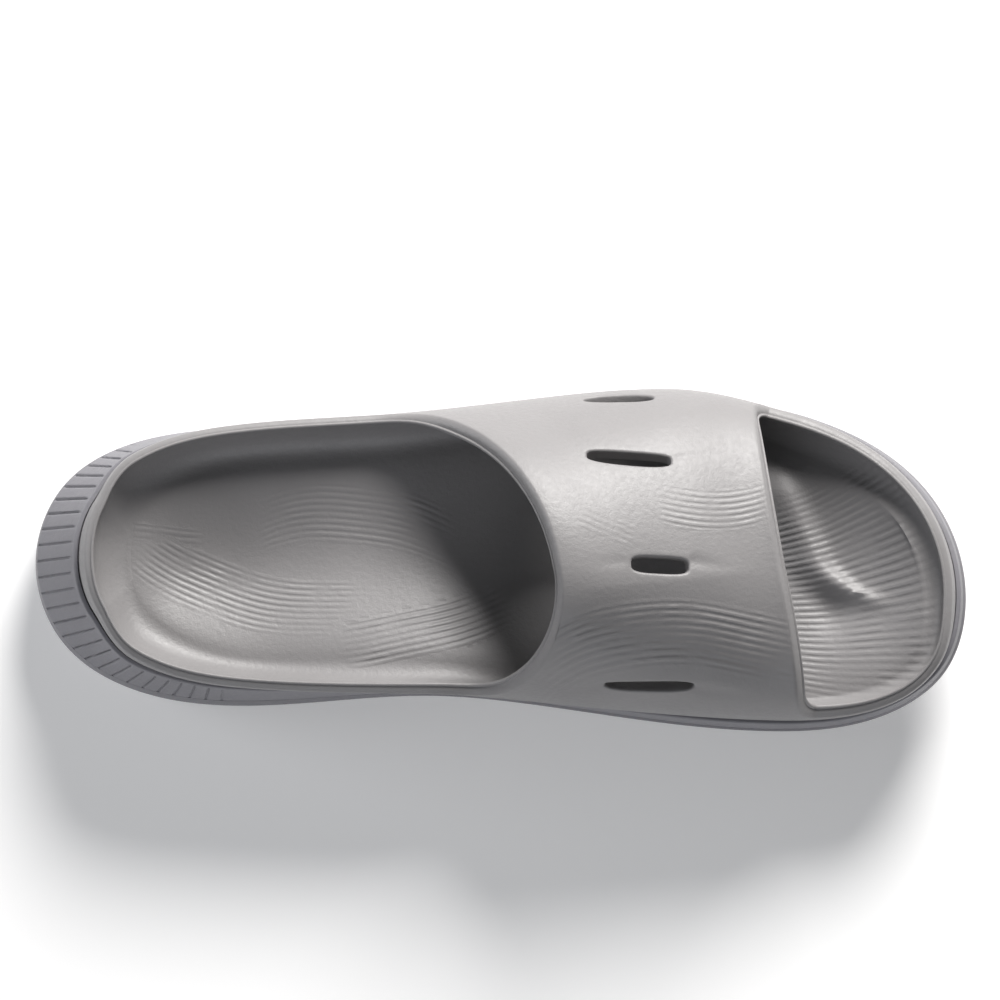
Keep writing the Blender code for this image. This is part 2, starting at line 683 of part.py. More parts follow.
def slot_cutters(band):
    """Prisms with round ends through the band, square to its surface."""
    cutters = bmesh.new()
    for x, y, length, width in SLOTS:
        centre, normal = band.frame(*band.over(x * LENGTH, y * SOLE_WIDTH))
        forward = (Vector((1, 0, 0)) - normal * normal.x).normalized()
        across = normal.cross(forward)
        corners = []
        for end in (1, -1):
            for j in range(SLOT_END_STEPS + 1):
                turn = math.pi * (j / SLOT_END_STEPS - 0.5)
                reach = end * (length - width) / 2 + end * math.cos(turn) * width / 2
                spread = end * math.sin(turn) * width / 2
                point = centre + forward * reach + across * spread - normal * SLOT_INSIDE
                corners.append(cutters.verts.new(point))
        face = cutters.faces.new(corners)
        made = bmesh.ops.extrude_face_region(cutters, geom=[face])
        moved = [item for item in made["geom"] if isinstance(item, bmesh.types.BMVert)]
        bmesh.ops.translate(cutters, verts=moved, vec=normal * (SLOT_INSIDE + SLOT_OUTSIDE))
    bmesh.ops.recalc_face_normals(cutters, faces=cutters.faces)
    return cutters


def material(name, colour, roughness):
    made = bpy.data.materials.new(name)
    made.use_nodes = True
    shader = made.node_tree.nodes["Principled BSDF"]
    shader.inputs["Base Color"].default_value = (*colour, 1.0)
    shader.inputs["Roughness"].default_value = roughness
    shader.inputs["Metallic"].default_value = 0.0
    return made


def add_object(name, mesh, collection, colour=None, roughness=0.5):
    made = bpy.data.objects.new(name, mesh)
    collection.objects.link(made)
    if colour:
        mesh.materials.append(material(name, colour, roughness))
        mesh.shade_smooth()
        mesh.set_sharp_from_angle(angle=math.radians(35))
    else:
        made.hide_render = True
        made.display_type = "WIRE"
    return made


def skin_mesh(name, skin):
    mesh = bpy.data.meshes.new(name)
    mesh.from_pydata(skin.points, [], skin.faces)
    work = bmesh.new()
    work.from_mesh(mesh)
    loose = [vert for vert in work.verts if not vert.link_faces]
    bmesh.ops.delete(work, geom=loose, context="VERTS")
    bmesh.ops.recalc_face_normals(work, faces=work.faces)
    work.to_mesh(mesh)
    work.free()
    return mesh


def cutter_mesh(name, work):
    mesh = bpy.data.meshes.new(name)
    work.to_mesh(mesh)
    work.free()
    return mesh


def cut(target, cutter):
    modifier = target.modifiers.new("cut", "BOOLEAN")
    modifier.operation = "DIFFERENCE"
    modifier.solver = "EXACT"
    modifier.object = cutter


def main():
    for item in list(bpy.data.objects):
        bpy.data.objects.remove(item, do_unlink=True)
    shoe = bpy.data.collections.new("slide_sandal")
    tools = bpy.data.collections.new("cutters")
    for collection in (shoe, tools):
        bpy.context.scene.collection.children.link(collection)

    outline = Outline()
    places = stations(outline)
    upper = add_object(
        "upper_and_footbed", skin_mesh("upper_and_footbed", make_upper(outline, places)), shoe,
        (0.33, 0.32, 0.33), 0.45,
    )
    midsole = add_object(
        "midsole", skin_mesh("midsole", make_midsole(outline, places)), shoe,
        (0.26, 0.25, 0.28), 0.5,
    )
    outsole = add_object(
        "outsole", skin_mesh("outsole", make_outsole(outline, places)), shoe,
        (0.25, 0.24, 0.27), 0.55,
    )
    slots = add_object("slot_cutters", cutter_mesh("slot_cutters", slot_cutters(Band(outline))), tools)
    ribs = add_object("rib_cutters", cutter_mesh("rib_cutters", rib_cutters(outline)), tools)
    tread = add_object("tread_cutters", cutter_mesh("tread_cutters", tread_cutters()), tools)
    cut(upper, slots)
    cut(midsole, ribs)
    cut(outsole, tread)

    pieces = (upper, midsole, outsole)
    corners = np.array([vert.co for piece in pieces for vert in piece.data.vertices])
    middle = (corners.min(axis=0) + corners.max(axis=0)) / 2
    for piece in (*pieces, slots, ribs, tread):
        piece.location = (-middle[0], -middle[1], 0.0)


main()
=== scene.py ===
# Left sport slide sandal in moulded foam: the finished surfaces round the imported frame.
# Lengths are in metres. The shape is worked out with the heel back at x = 0 and then moved
# to the frame, where the shoe's box stands over the origin.
import math

import bmesh
import bpy
import numpy as np
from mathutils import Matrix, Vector


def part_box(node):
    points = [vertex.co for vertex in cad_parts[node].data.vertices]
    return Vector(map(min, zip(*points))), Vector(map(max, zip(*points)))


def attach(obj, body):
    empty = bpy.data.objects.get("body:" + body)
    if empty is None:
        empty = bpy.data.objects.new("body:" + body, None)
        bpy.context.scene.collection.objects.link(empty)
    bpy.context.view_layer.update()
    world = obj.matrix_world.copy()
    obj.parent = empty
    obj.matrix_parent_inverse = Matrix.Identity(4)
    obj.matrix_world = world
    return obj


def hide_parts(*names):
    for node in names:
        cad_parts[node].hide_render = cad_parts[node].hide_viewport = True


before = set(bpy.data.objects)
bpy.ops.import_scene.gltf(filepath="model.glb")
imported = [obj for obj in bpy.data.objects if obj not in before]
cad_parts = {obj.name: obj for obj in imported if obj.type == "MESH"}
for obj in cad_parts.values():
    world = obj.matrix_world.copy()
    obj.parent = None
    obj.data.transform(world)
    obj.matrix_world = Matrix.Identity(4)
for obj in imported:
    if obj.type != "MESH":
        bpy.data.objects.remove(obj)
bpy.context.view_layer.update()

# The last: the sizes and tables of the shoe
last = {
    "length": 0.300,
    "width": 0.110,
    "cupHeight": 0.051,  # rim of the heel cup
    "bandHeight": 0.088,  # crest of the band at the collar
    "lipHeight": 0.042,  # top of the midsole behind the heel
    "stripHeight": 0.022,  # top of the outsole behind the heel
    "footbedHeight": 0.036,  # edge of the footbed in the heel cup
    "seatHeight": 0.024,  # underside of the upper at the heel
    "toeSpring": 0.020,
    "heelBevel": 0.009,
    "bevelEnd": 0.095,  # share of the length where the tread meets the floor
    "springStart": 0.63,  # and where it leaves it
    "bandWall": 0.0045,
    "gap": 0.0003,  # between two layers
}
outlineColumns = {  # name, and the size that the column is a share of
    "x": last["length"], "y": last["width"], "edgeZ": last["stripHeight"], "lineIn": last["width"],
    "lineZ": last["stripHeight"], "lipIn": last["width"], "lipZ": last["lipHeight"],
    "rimIn": last["width"], "rimZ": last["cupHeight"], "floorIn": last["width"],
    "floorZ": last["footbedHeight"], "wall": last["bandWall"],
}
outlineRows = (  # from the heel back round the medial side to the toe and back, a row per place
    (0.000, 0.005, 0.64, 0.008, 1.00, 0.118, 1.00, 0.168, 1.000, 0.285, 1.00, 0.67),
    (0.035, -0.241, 0.64, 0.008, 1.00, 0.102, 1.00, 0.145, 1.000, 0.268, 1.00, 0.67),
    (0.099, -0.355, 0.64, 0.008, 1.00, 0.052, 0.99, 0.084, 0.990, 0.205, 1.00, 0.67),
    (0.233, -0.409, 0.61, 0.008, 0.97, 0.028, 0.90, 0.044, 0.971, 0.125, 1.03, 0.67),
    (0.423, -0.379, 0.54, 0.005, 0.77, 0.009, 0.71, -0.002, 0.985, 0.091, 1.19, 0.80),
    (0.550, -0.409, 0.43, 0.005, 0.57, 0.009, 0.61, 0.012, 0.790, 0.080, 1.03, 1.00),
    (0.780, -0.482, 0.32, 0.005, 0.41, 0.011, 0.52, 0.041, 0.745, 0.088, 0.75, 1.00),
    (0.932, -0.418, 0.27, 0.005, 0.38, 0.012, 0.43, 0.030, 0.588, 0.085, 0.64, 0.75),
    (0.975, -0.327, 0.27, 0.007, 0.37, 0.014, 0.42, 0.040, 0.543, 0.104, 0.61, 0.67),
    (1.000, -0.118, 0.27, 0.009, 0.36, 0.018, 0.41, 0.060, 0.529, 0.127, 0.58, 0.67),
    (0.963, 0.202, 0.28, 0.007, 0.39, 0.018, 0.43, 0.056, 0.588, 0.137, 0.66, 0.67),
    (0.910, 0.339, 0.27, 0.005, 0.39, 0.015, 0.47, 0.051, 0.659, 0.137, 0.68, 0.75),
    (0.813, 0.455, 0.28, 0.005, 0.39, 0.011, 0.51, 0.045, 0.759, 0.128, 0.72, 0.90),
    (0.683, 0.495, 0.32, 0.005, 0.41, 0.009, 0.57, 0.013, 0.765, 0.073, 0.83, 1.00),
    (0.517, 0.450, 0.41, 0.005, 0.50, 0.009, 0.62, 0.003, 0.804, 0.082, 0.89, 1.00),
    (0.373, 0.418, 0.52, 0.005, 0.73, 0.011, 0.76, 0.013, 0.975, 0.109, 1.00, 0.67),
    (0.197, 0.405, 0.59, 0.008, 0.95, 0.024, 0.93, 0.038, 0.980, 0.140, 1.00, 0.67),
    (0.099, 0.357, 0.64, 0.008, 1.00, 0.048, 0.99, 0.076, 0.990, 0.205, 1.00, 0.67),
    (0.035, 0.252, 0.64, 0.008, 1.00, 0.102, 1.00, 0.145, 1.000, 0.268, 1.00, 0.67),
)
heelCorners, toeCorners = (18, 1), (8, 10)  # rows where the ends of the outline turn into its sides
seatRows = (  # underside of the upper: x of the length, height of the seat's height
    (0.0, 1.0), (0.2, 1.0), (0.333, 0.917), (0.45, 0.833),
    (0.65, 0.75), (0.8, 0.646), (0.92, 0.604), (1.0, 0.542),
)


def fairSlopes(knots, values, closed):  # keeps a curve between its neighbouring values
    secants = np.diff(values) / np.diff(knots)
    if closed:
        before, after = np.roll(secants, 1), secants
    else:
        before, after = np.concatenate(([0.0], secants)), np.concatenate((secants, [0.0]))
    same = before * after > 0
    return np.where(same, 2.0 * before * after / np.where(same, before + after, 1.0), 0.0)


def roundSlopes(knots, values):  # the smoothest closed curve
    steps = np.diff(knots)
    secants = np.diff(values) / steps
    count = len(steps)
    matrix, right = np.zeros((count, count)), np.zeros(count)
    for i in range(count):
        before, after = (i - 1) % count, (i + 1) % count
        matrix[i, before] += 1.0 / steps[before]
        matrix[i, i] += 2.0 / steps[before] + 2.0 / steps[i]
        matrix[i, after] += 1.0 / steps[i]
        right[i] = 3.0 * (secants[before] / steps[before] + secants[i] / steps[i])
    return np.linalg.solve(matrix, right)


def hermite(knots, values, slopes, at):  # the curve through the knots with these slopes
    i = np.clip(np.searchsorted(knots, at, side="right") - 1, 0, len(knots) - 2)
    step = knots[i + 1] - knots[i]
    f = (at - knots[i]) / step
    return (
        values[i] * (1 + 2 * f) * (1 - f) ** 2
        + slopes[i] * step * f * (1 - f) ** 2
        + values[i + 1] * f * f * (3 - 2 * f)
        + slopes[i + 1] * step * f * f * (f - 1)
    )


def tableCurve(rows, sizeIn, sizeOut):  # a curve from rows of shares of two sizes
    knots = np.array([row[0] for row in rows]) * sizeIn
    values = np.array([row[1] for row in rows]) * sizeOut
    slopes = fairSlopes(knots, values, False)
    return lambda at: hermite(knots, values, slopes, np.clip(at, knots[0], knots[-1]))


def smooth(x):  # eases 0 to 1
    x = np.clip(x, 0.0, 1.0)
    return x * x * (3 - 2 * x)


class Outline:  # the sole edge and what is set in from it
    def __init__(self):
        table = {name: np.array([row[i] for row in outlineRows]) for i, name in enumerate(outlineColumns)}
        x, y = table["x"] * last["length"], table["y"] * last["width"]
        gaps = np.hypot(np.diff(np.append(x, x[0])), np.diff(np.append(y, y[0])))
        self.knots = np.concatenate(([0.0], np.cumsum(gaps)))
        self.around = self.knots[-1]
        self.values, self.slopes = {}, {}
        for name, values in table.items():
            values = np.append(values, values[0]) * outlineColumns[name]
            makeSlopes = roundSlopes if name in ("x", "y") else lambda k, v: fairSlopes(k, v, True)
            slopes = makeSlopes(self.knots, values)
            self.values[name] = values
            self.slopes[name] = np.append(slopes, slopes[0])

    def read(self, name, at):  # a column's value at a way round the edge
        return hermite(self.knots, self.values[name], self.slopes[name], np.mod(at, self.around))

    def inward(self, at):
        small = self.around * 1e-5
        dx = self.read("x", at + small) - self.read("x", at - small)
        dy = self.read("y", at + small) - self.read("y", at - small)
        size = np.hypot(dx, dy)
        return np.stack((-dy / size, dx / size), axis=-1)

    def inset(self, at, distance, height):  # points set in square to the edge
        inward = self.inward(at)
        x = self.read("x", at) + inward[..., 0] * distance
        y = self.read("y", at) + inward[..., 1] * distance
        return np.stack((x, y, height + 0.0 * x), axis=-1)

    def place(self, share, rowFrom, rowTo, rounds=40):  # where x is a share of the length, between rows
        low, high = self.knots[rowFrom], self.knots[rowTo]
        x = share * last["length"]
        rising = self.read("x", high) > self.read("x", low)
        for _ in range(rounds):
            middle = (low + high) / 2
            if (self.read("x", middle) < x) == rising:
                low = middle
            else:
                high = middle
        return (low + high) / 2


outline = Outline()
seatCurve = tableCurve(seatRows, last["length"], last["seatHeight"])
bandEnds = {  # collar and front end on the lateral (1) and the medial wall: share of the length, rows
    1: ((0.390, 14, 15), (0.770, 12, 13)),
    -1: ((0.480, 3, 6), (0.818, 6, 7)),
}
bandSpan = {side: tuple(outline.place(*end) for end in ends) for side, ends in bandEnds.items()}


def spring(x):  # rise of the sole towards the toe
    start = last["springStart"] * last["length"]
    return last["toeSpring"] * (np.clip(x - start, 0.0, None) / (last["length"] - start)) ** 2


def ground(x):  # height of the sole's underside
    bevel = last["bevelEnd"] * last["length"]
    return spring(x) + last["heelBevel"] * (np.clip(bevel - x, 0.0, None) / bevel) ** 2


def seatHeight(x):  # height of the upper's underside
    return seatCurve(x) + spring(x)


flow = {  # how far the band's edges run on along the rim, up to what sine, and how softly they turn
    "collar": 0.08, "collarHeight": 0.3, "collarSoftness": 0.5,
    "front": 0.055, "frontHeight": 0.45, "frontSoftness": 0.8,
}


def flowing(s, up):  # way of a line of the band at the sine of its angle over the base
    share = {end: np.clip(up / flow[end + "Height"], 0.0, 1.0) for end in ("front", "collar")}
    front = flow["front"] * (1 - share["front"] ** flow["frontSoftness"]) ** 2
    collar = flow["collar"] * (1 - share["collar"] ** flow["collarSoftness"]) ** 2
    return s + front * s ** 2 - collar * (1 - s) ** 2


def bandStation(s, side):  # place on the edge for a way from collar to front
    return bandSpan[side][0] + (bandSpan[side][1] - bandSpan[side][0]) * s


def stationsFor(count):  # places round the edge from the lateral heel corner, the same on both sides
    heelLateral, heelMedial = (outline.knots[row] for row in heelCorners)
    toeMedial, toeLateral = (outline.knots[row] for row in toeCorners)
    way = flowing(np.linspace(0.0, 1.0, count["band"] + 1), 0.0)
    lateral, medial = bandStation(way, 1), bandStation(way, -1)
    return np.concatenate((
        np.linspace(heelLateral - outline.around, heelMedial, count["heel"], endpoint=False),
        np.linspace(heelMedial, medial[0], count["rear"], endpoint=False),
        medial[:-1],
        np.linspace(medial[-1], toeMedial, count["toe"], endpoint=False),
        np.linspace(toeMedial, toeLateral, count["heel"], endpoint=False),
        np.linspace(toeLateral, lateral[-1], count["toe"], endpoint=False),
        lateral[:0:-1],
        np.linspace(lateral[0], heelLateral, count["rear"], endpoint=False),
    ))


class Skin:  # rows of points and the faces between them
    def __init__(self):
        self.points, self.zones, self.faces = [], [], []

    def row(self, points, zone="plain"):
        first = len(self.points)
        self.points.extend(map(tuple, points))
        self.zones.extend([zone] * (len(self.points) - first))
        return list(range(first, len(self.points)))

    def band(self, a, b, closed=True):
        count = len(a)
        for i in range(count if closed else count - 1):
            j = (i + 1) % count
            self.faces.append((a[i], a[j], b[j], b[i]))

    def on(self, before, points, zone="plain"):  # a new row, joined to the one before it
        row = self.row(points, zone)
        self.band(before, row)
        return row

    def thin(self, fine, coarse, step):  # joins every step-th point of a fine ring to a coarse ring
        for i in range(len(coarse)):
            j = (i + 1) % len(coarse)
            run = [fine[(i * step + k) % len(fine)] for k in range(step, -1, -1)]
            self.faces.append((coarse[i], coarse[j], *run))

    def cap(self, ring, across, height, zone="plain"):  # closes a ring; heights from height(x, y, v, z)
        along = len(ring) // 2 - across
        grid = np.zeros((along + 1, across + 1), dtype=int)
        grid[0] = ring[: across + 1]
        grid[-1] = ring[across + along : 2 * across + along + 1][::-1]
        grid[:, 0] = [ring[-i] for i in range(along + 1)]
        grid[:, -1] = ring[across : across + along + 1]
        points = np.array(self.points)
        heel, toe, lateral, medial = (points[line] for line in (grid[0], grid[-1], grid[:, 0], grid[:, -1]))
        u = np.linspace(0, 1, along + 1)[:, None, None]
        v = np.linspace(0, 1, across + 1)[None, :, None]
        patch = (1 - u) * heel + u * toe + (1 - v) * lateral[:, None] + v * medial[:, None]
        patch = patch - (1 - u) * ((1 - v) * heel[0] + v * heel[-1])
        patch = patch - u * ((1 - v) * toe[0] + v * toe[-1])
        heights = height(patch[..., 0], patch[..., 1], 2 * v[..., 0] - 1 + 0 * patch[..., 0], patch[..., 2])
        inside = np.stack((patch[..., 0], patch[..., 1], heights), axis=-1)[1:-1, 1:-1]
        numbers = self.row(inside.reshape(-1, 3), zone)
        grid[1:-1, 1:-1] = np.array(numbers).reshape(along - 1, across - 1)
        self.fill(grid)

    def fill(self, grid, without=()):  # the faces of a grid of points
        for k in range(len(grid) - 1):
            for m in range(len(grid[0]) - 1):
                if (k, m) not in without:
                    self.faces.append((grid[k][m], grid[k + 1][m], grid[k + 1][m + 1], grid[k][m + 1]))

    def mesh(self, name):
        points = np.array(self.points) + placeShift
        made = bpy.data.meshes.new(name)
        made.from_pydata([tuple(p) for p in points], [], [tuple(int(i) for i in f) for f in self.faces])
        return made


def ringAt(places, reach, height):  # points set in from the edge, at heights that follow x
    ring = outline.inset(places, reach, 0.0)
    ring[:, 2] = height(ring[:, 0])
    return ring


def shiftToFrame(samples=2000):  # from the last's own place to the frame's, by the outsole's box
    ring = outline.inset(np.linspace(0, outline.around, samples), 0.0, 0.0)
    low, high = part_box("outsole")
    middle = (ring.min(axis=0) + ring.max(axis=0)) / 2
    return np.array(((low[0] + high[0]) / 2 - middle[0], (low[1] + high[1]) / 2 - middle[1], 0.0))


placeShift = shiftToFrame()

# The band over the forefoot
band = {
    "crest": ((0.0, 1.0), (0.36, 0.935), (0.7, 0.86), (1.0, 0.785)),  # way, share of the band's height
    "crestX": (0.567, 0.795),  # shares of the length
    "crestY": -0.045,  # of the width
    "collarSweep": (0.93, 0.8),  # how the edges run forward, lateral and medial
    "frontSweep": (1.2, 1.4),
    "collarLean": math.radians(13),  # of the collar's foremost point past the crest
    "softRise": 0.15,
    "softRiseEnd": 0.4,
    "levelEnd": 0.35,  # sine of the angle below which the wall's thickness turns level, as in the rim
    "fullWall": 0.45,  # sine of the angle from which the band has its own wall
    "archSteps": 180,
    "crowding": 1.4,  # above 1 the lines of the arch stand closer near its bases
    "creaseFade": 0.8,  # share of its depth that a crease loses over its length
}
bandCrest = tableCurve(band["crest"], 1.0, last["bandHeight"])
bandCreases = (  # start and end on the plan, depth and width: troughs are positive
    ((0.2065, 0.0305), (0.2215, 0.0325), 0.00035, 0.0010),
    ((0.2115, -0.0035), (0.2220, -0.0050), 0.00050, 0.0014),
    ((0.1890, -0.0040), (0.1800, -0.0055), 0.00030, 0.0014),
    ((0.2125, -0.0430), (0.2300, -0.0450), 0.00045, 0.0016),
    ((0.1830, -0.0420), (0.1720, -0.0430), 0.00025, 0.0014),
)


def bandFoot(s, side):  # middle of the rim, where a line of the band stands
    at = bandStation(s, side)
    height = outline.read("rimZ", at) + spring(outline.read("x", at)) - outline.read("wall", at) / 2
    return outline.inset(at, outline.read("rimIn", at) - outline.read("wall", at) / 2, height)


def bandArch(s, turn):  # outer face: s from collar to front, turn from lateral base over to medial
    s, turn = np.broadcast_arrays(np.asarray(s, float), np.asarray(turn, float))
    feet = bandFoot(s, 1), bandFoot(s, -1)
    lateral = turn <= math.pi / 2
    angle = np.where(lateral, turn, math.pi - turn)
    foot = np.where(lateral[..., None], feet[0], feet[1])
    crestX = (band["crestX"][0] + (band["crestX"][1] - band["crestX"][0]) * s) * last["length"]
    crestY = band["crestY"] * last["width"]
    up = np.sin(np.clip(angle, 0.0, None))
    rise = up ** (1.0 + band["softRise"] * np.clip(1 - s / band["softRiseEnd"], 0.0, None))
    foremost = math.pi / 2 + band["collarLean"] * np.clip(1 - s, 0.0, None)
    behind = turn < foremost
    lean = np.where(behind, turn / foremost, (math.pi - turn) / (math.pi - foremost)) * math.pi / 2
    start = np.where(behind, feet[0][..., 0], feet[1][..., 0])
    collar = np.sin(np.clip(lean, 0.0, None)) ** np.where(behind, *band["collarSweep"])
    front = (1 - np.cos(lean)) ** np.where(behind, *band["frontSweep"])
    forward = (1 - s) * collar + s * front
    return np.stack((
        start + (crestX - start) * forward,
        crestY + (foot[..., 1] - crestY) * np.cos(angle),
        foot[..., 2] + (bandCrest(s) - foot[..., 2]) * rise,
    ), axis=-1)


def bandEdge(s, turns):  # directions out of the collar (0) or the front (1), square to the edge line
    small = 1e-4
    line = bandArch(flowing(s, np.sin(turns + small)), turns + small)
    line = line - bandArch(flowing(s, np.sin(turns - small)), turns - small)
    out = np.cross(bandNormal(flowing(s, np.sin(turns)), turns), line) * (1 if s else -1)
    return out / np.linalg.norm(out, axis=-1, keepdims=True)


def bandNormal(s, turn):  # square to the outer face, and level near the base
    small = 1e-3
    turn = np.clip(turn, 2 * small, math.pi - 2 * small)
    over = bandArch(s, turn + small) - bandArch(s, turn - small)
    along = bandArch(s + small, turn) - bandArch(s - small, turn)
    normal = np.cross(over, along)
    normal[..., 2] *= smooth(np.sin(turn) / band["levelEnd"])
    return normal / np.linalg.norm(normal, axis=-1, keepdims=True)


def creaseDepth(points):
    total = np.zeros(points.shape[:-1])
    for start, end, depth, width in bandCreases:
        a, b = np.array(start), np.array(end)
        along = b - a
        share = np.clip(((points[..., :2] - a) @ along) / (along @ along), 0.0, 1.0)
        away = np.linalg.norm(points[..., :2] - (a + share[..., None] * along), axis=-1)
        total += depth * (1 - band["creaseFade"] * share) * np.exp(-((away / width) ** 2))
    return total


def wallAt(s, turn):  # from the rim's thickness at the base to the band's own
    rim = np.where(turn < math.pi / 2, *(outline.read("wall", bandStation(s, side)) for side in (1, -1)))
    return rim + (last["bandWall"] - rim) * smooth(np.sin(turn) / band["fullWall"])


def bandAt(x, y, rounds=60):  # way and turn of the outer face's point over a place on the plan
    s, turn = 0.5, math.pi / 2
    crestY = band["crestY"] * last["width"]
    side = 1 if y > crestY else -1
    spanX = 0.4 * last["length"]  # a bit more than the band's own length, so that each round closes in
    for _ in range(rounds):
        angle = math.acos(min(1.0, (y - crestY) / (float(bandFoot(s, side)[1]) - crestY)))
        turn = angle if side > 0 else math.pi - angle
        s += (x - float(bandArch(s, turn)[0])) / spanX
    return s, turn


def bandFace(s, turn, depth=0.0):  # the outer face with its creases, or a face at a depth under it
    points = bandArch(s, turn)
    normals = bandNormal(s, turn)
    return points - normals * (depth + creaseDepth(points))[..., None]


# Slots of the band: place on the plan, length, width, and how square the edge to the little
# toe and the edge to the big toe are
slotTable = (
    {"x": 0.1880, "y": 0.0512, "length": 0.0225, "width": 0.0056, "square": (2.3, 2.3)},
    {"x": 0.1912, "y": 0.0299, "length": 0.0272, "width": 0.0050, "square": (4.5, 2.4)},
    {"x": 0.2010, "y": -0.0050, "length": 0.0190, "width": 0.0054, "square": (3.6, 3.4)},
    {"x": 0.1976, "y": -0.0424, "length": 0.0285, "width": 0.0052, "square": (3.2, 2.3)},
)
slotEdge = {"roundOut": 0.0009, "roundIn": 0.0006, "steps": 5, "margin": 0.0028, "frames": 3, "samples": 200}


def slotFrame(slot):  # the slot's place on the band and its axes there
    s, turn = bandAt(slot["x"], slot["y"])
    normal = bandNormal(s, turn)
    forward = np.array((1.0, 0.0, 0.0)) - normal * normal[0]
    forward /= np.linalg.norm(forward)
    return s, turn, bandArch(s, turn), forward, np.cross(normal, forward)


def slotRing(slot, angles, offset, rounds=6):  # band coordinates of the outline grown by an offset
    s0, turn0, centre, forward, across = slotFrame(slot)
    power = 2 / np.where(np.sin(angles) > 0, *slot["square"])
    u = (slot["length"] / 2 + offset) * np.sign(np.cos(angles)) * np.abs(np.cos(angles)) ** power
    w = (slot["width"] / 2 + offset) * np.sign(np.sin(angles)) * np.abs(np.sin(angles)) ** power
    s, turn = np.full(u.shape, s0), np.full(u.shape, turn0)
    small = 1e-4
    for _ in range(rounds):
        here = bandArch(s, turn) - centre
        ds = (bandArch(s + small, turn) - bandArch(s - small, turn)) / (2 * small)
        dt = (bandArch(s, turn + small) - bandArch(s, turn - small)) / (2 * small)
        missU, missW = u - here @ forward, w - here @ across
        a, b, c, d = ds @ forward, dt @ forward, ds @ across, dt @ across
        det = a * d - b * c
        s = s + (missU * d - missW * b) / det
        turn = turn + (missW * a - missU * c) / det
    return s, turn


def addSlot(skin, slot, outerGrid, innerGrid, sGrid, turnGrid):  # returns the grid cells that it replaces
    reach = slotEdge["margin"] + slotEdge["roundOut"]
    allAngles = np.linspace(0, 2 * math.pi, slotEdge["samples"])
    s, turn = slotRing(slot, allAngles, reach)
    k0, k1 = np.searchsorted(sGrid, s.min()) - 1, np.searchsorted(sGrid, s.max())
    m0, m1 = np.searchsorted(turnGrid, turn.min()) - 1, np.searchsorted(turnGrid, turn.max())
    loop = [(k, m0) for k in range(k0, k1)] + [(k1, m) for m in range(m0, m1)]
    loop += [(k, m1) for k in range(k1, k0, -1)] + [(k0, m) for m in range(m1, m0, -1)]
    loopS = np.array([sGrid[k] for k, m in loop])
    loopTurn = np.array([turnGrid[m] for k, m in loop])
    _, _, centre, forward, across = slotFrame(slot)
    out = bandArch(loopS, loopTurn) - centre
    angles = np.arctan2(
        (out @ across) / (slot["width"] / 2 + reach), (out @ forward) / (slot["length"] / 2 + reach)
    )

    def side(grid, radius, depth, inward):  # frame and rounded edge on one face of the wall
        ring = [grid[k][m] for k, m in loop]
        edgeS, edgeTurn = slotRing(slot, angles, radius)
        for f in range(1, slotEdge["frames"] + 1):
            share = f / (slotEdge["frames"] + 1)
            ringS, ringTurn = loopS + (edgeS - loopS) * share, loopTurn + (edgeTurn - loopTurn) * share
            face = bandFace(ringS, ringTurn, depth * wallAt(ringS, ringTurn))
            ring = skin.on(ring, face, "band" if inward > 0 else "plain")
        for j in range(slotEdge["steps"] + 1):
            lean = math.pi / 2 * j / slotEdge["steps"]
            ringS, ringTurn = slotRing(slot, angles, radius * (1 - math.sin(lean)))
            under = depth * wallAt(ringS, ringTurn) + inward * radius * (1 - math.cos(lean))
            ring = skin.on(ring, bandFace(ringS, ringTurn, under))
        return ring

    outside = side(outerGrid, slotEdge["roundOut"], 0.0, 1)
    inside = side(innerGrid, slotEdge["roundIn"], 1.0, -1)
    edgeS, edgeTurn = slotRing(slot, angles, 0.0)
    middle = skin.on(outside, bandFace(edgeS, edgeTurn, wallAt(edgeS, edgeTurn) / 2))
    skin.band(middle, inside)
    return {(k, m) for k in range(k0, k1) for m in range(m0, m1)}


# The upper with its footbed
upper = {
    "count": {"heel": 44, "rear": 62, "band": 100, "toe": 28},  # places of the edge in each stretch
    "innerSteps": 14,
    "rim": (  # from the inner face over the bead and the rounding: shares of the wall's thickness
        (0.995, 0.30), (0.98, 0.42), (0.945, 0.50), (0.88, 0.55), (0.80, 0.56), (0.74, 0.553),
        (0.70, 0.53), (0.682, 0.49), (0.676, 0.44), (0.668, 0.41), (0.645, 0.396), (0.58, 0.385),
        (0.50, 0.37), (0.41, 0.34), (0.30, 0.285), (0.20, 0.215), (0.11, 0.14), (0.04, 0.06),
    ),
    "outerSteps": 12,
    "wallBow": 0.0006,
    "wallFlare": 1.3,  # above 1 the outer wall stays upright longer below its rim
}
footbed = {
    "dish": (  # x of the length, share of the dish's depth
        (0.1, 0.0), (0.16, 0.75), (0.22, 1.0), (0.33, 0.95), (0.45, 0.95),
        (0.65, 0.85), (0.8, 0.8), (0.9, 0.55), (0.955, 0.0),
    ),
    "dishDepth": 0.0065,
    "ridge": ((0.797, 0.27), (0.807, 0.205), (0.840, -0.01), (0.866, -0.075), (0.896, -0.111)),
    "ridgeHeight": 0.0040,
    "ridgeEnd": 0.012,  # length of the easing at both ends of the ridge
    "ridgeBack": 0.0080,
    "ridgeFront": 0.0048,
    "ridgeReach": (0.006, 0.004),  # past its last and its first point
    "hollow": (0.258, -0.0165, 0.0016, 0.0065),  # x, y, depth and radius beside the ridge's end
}


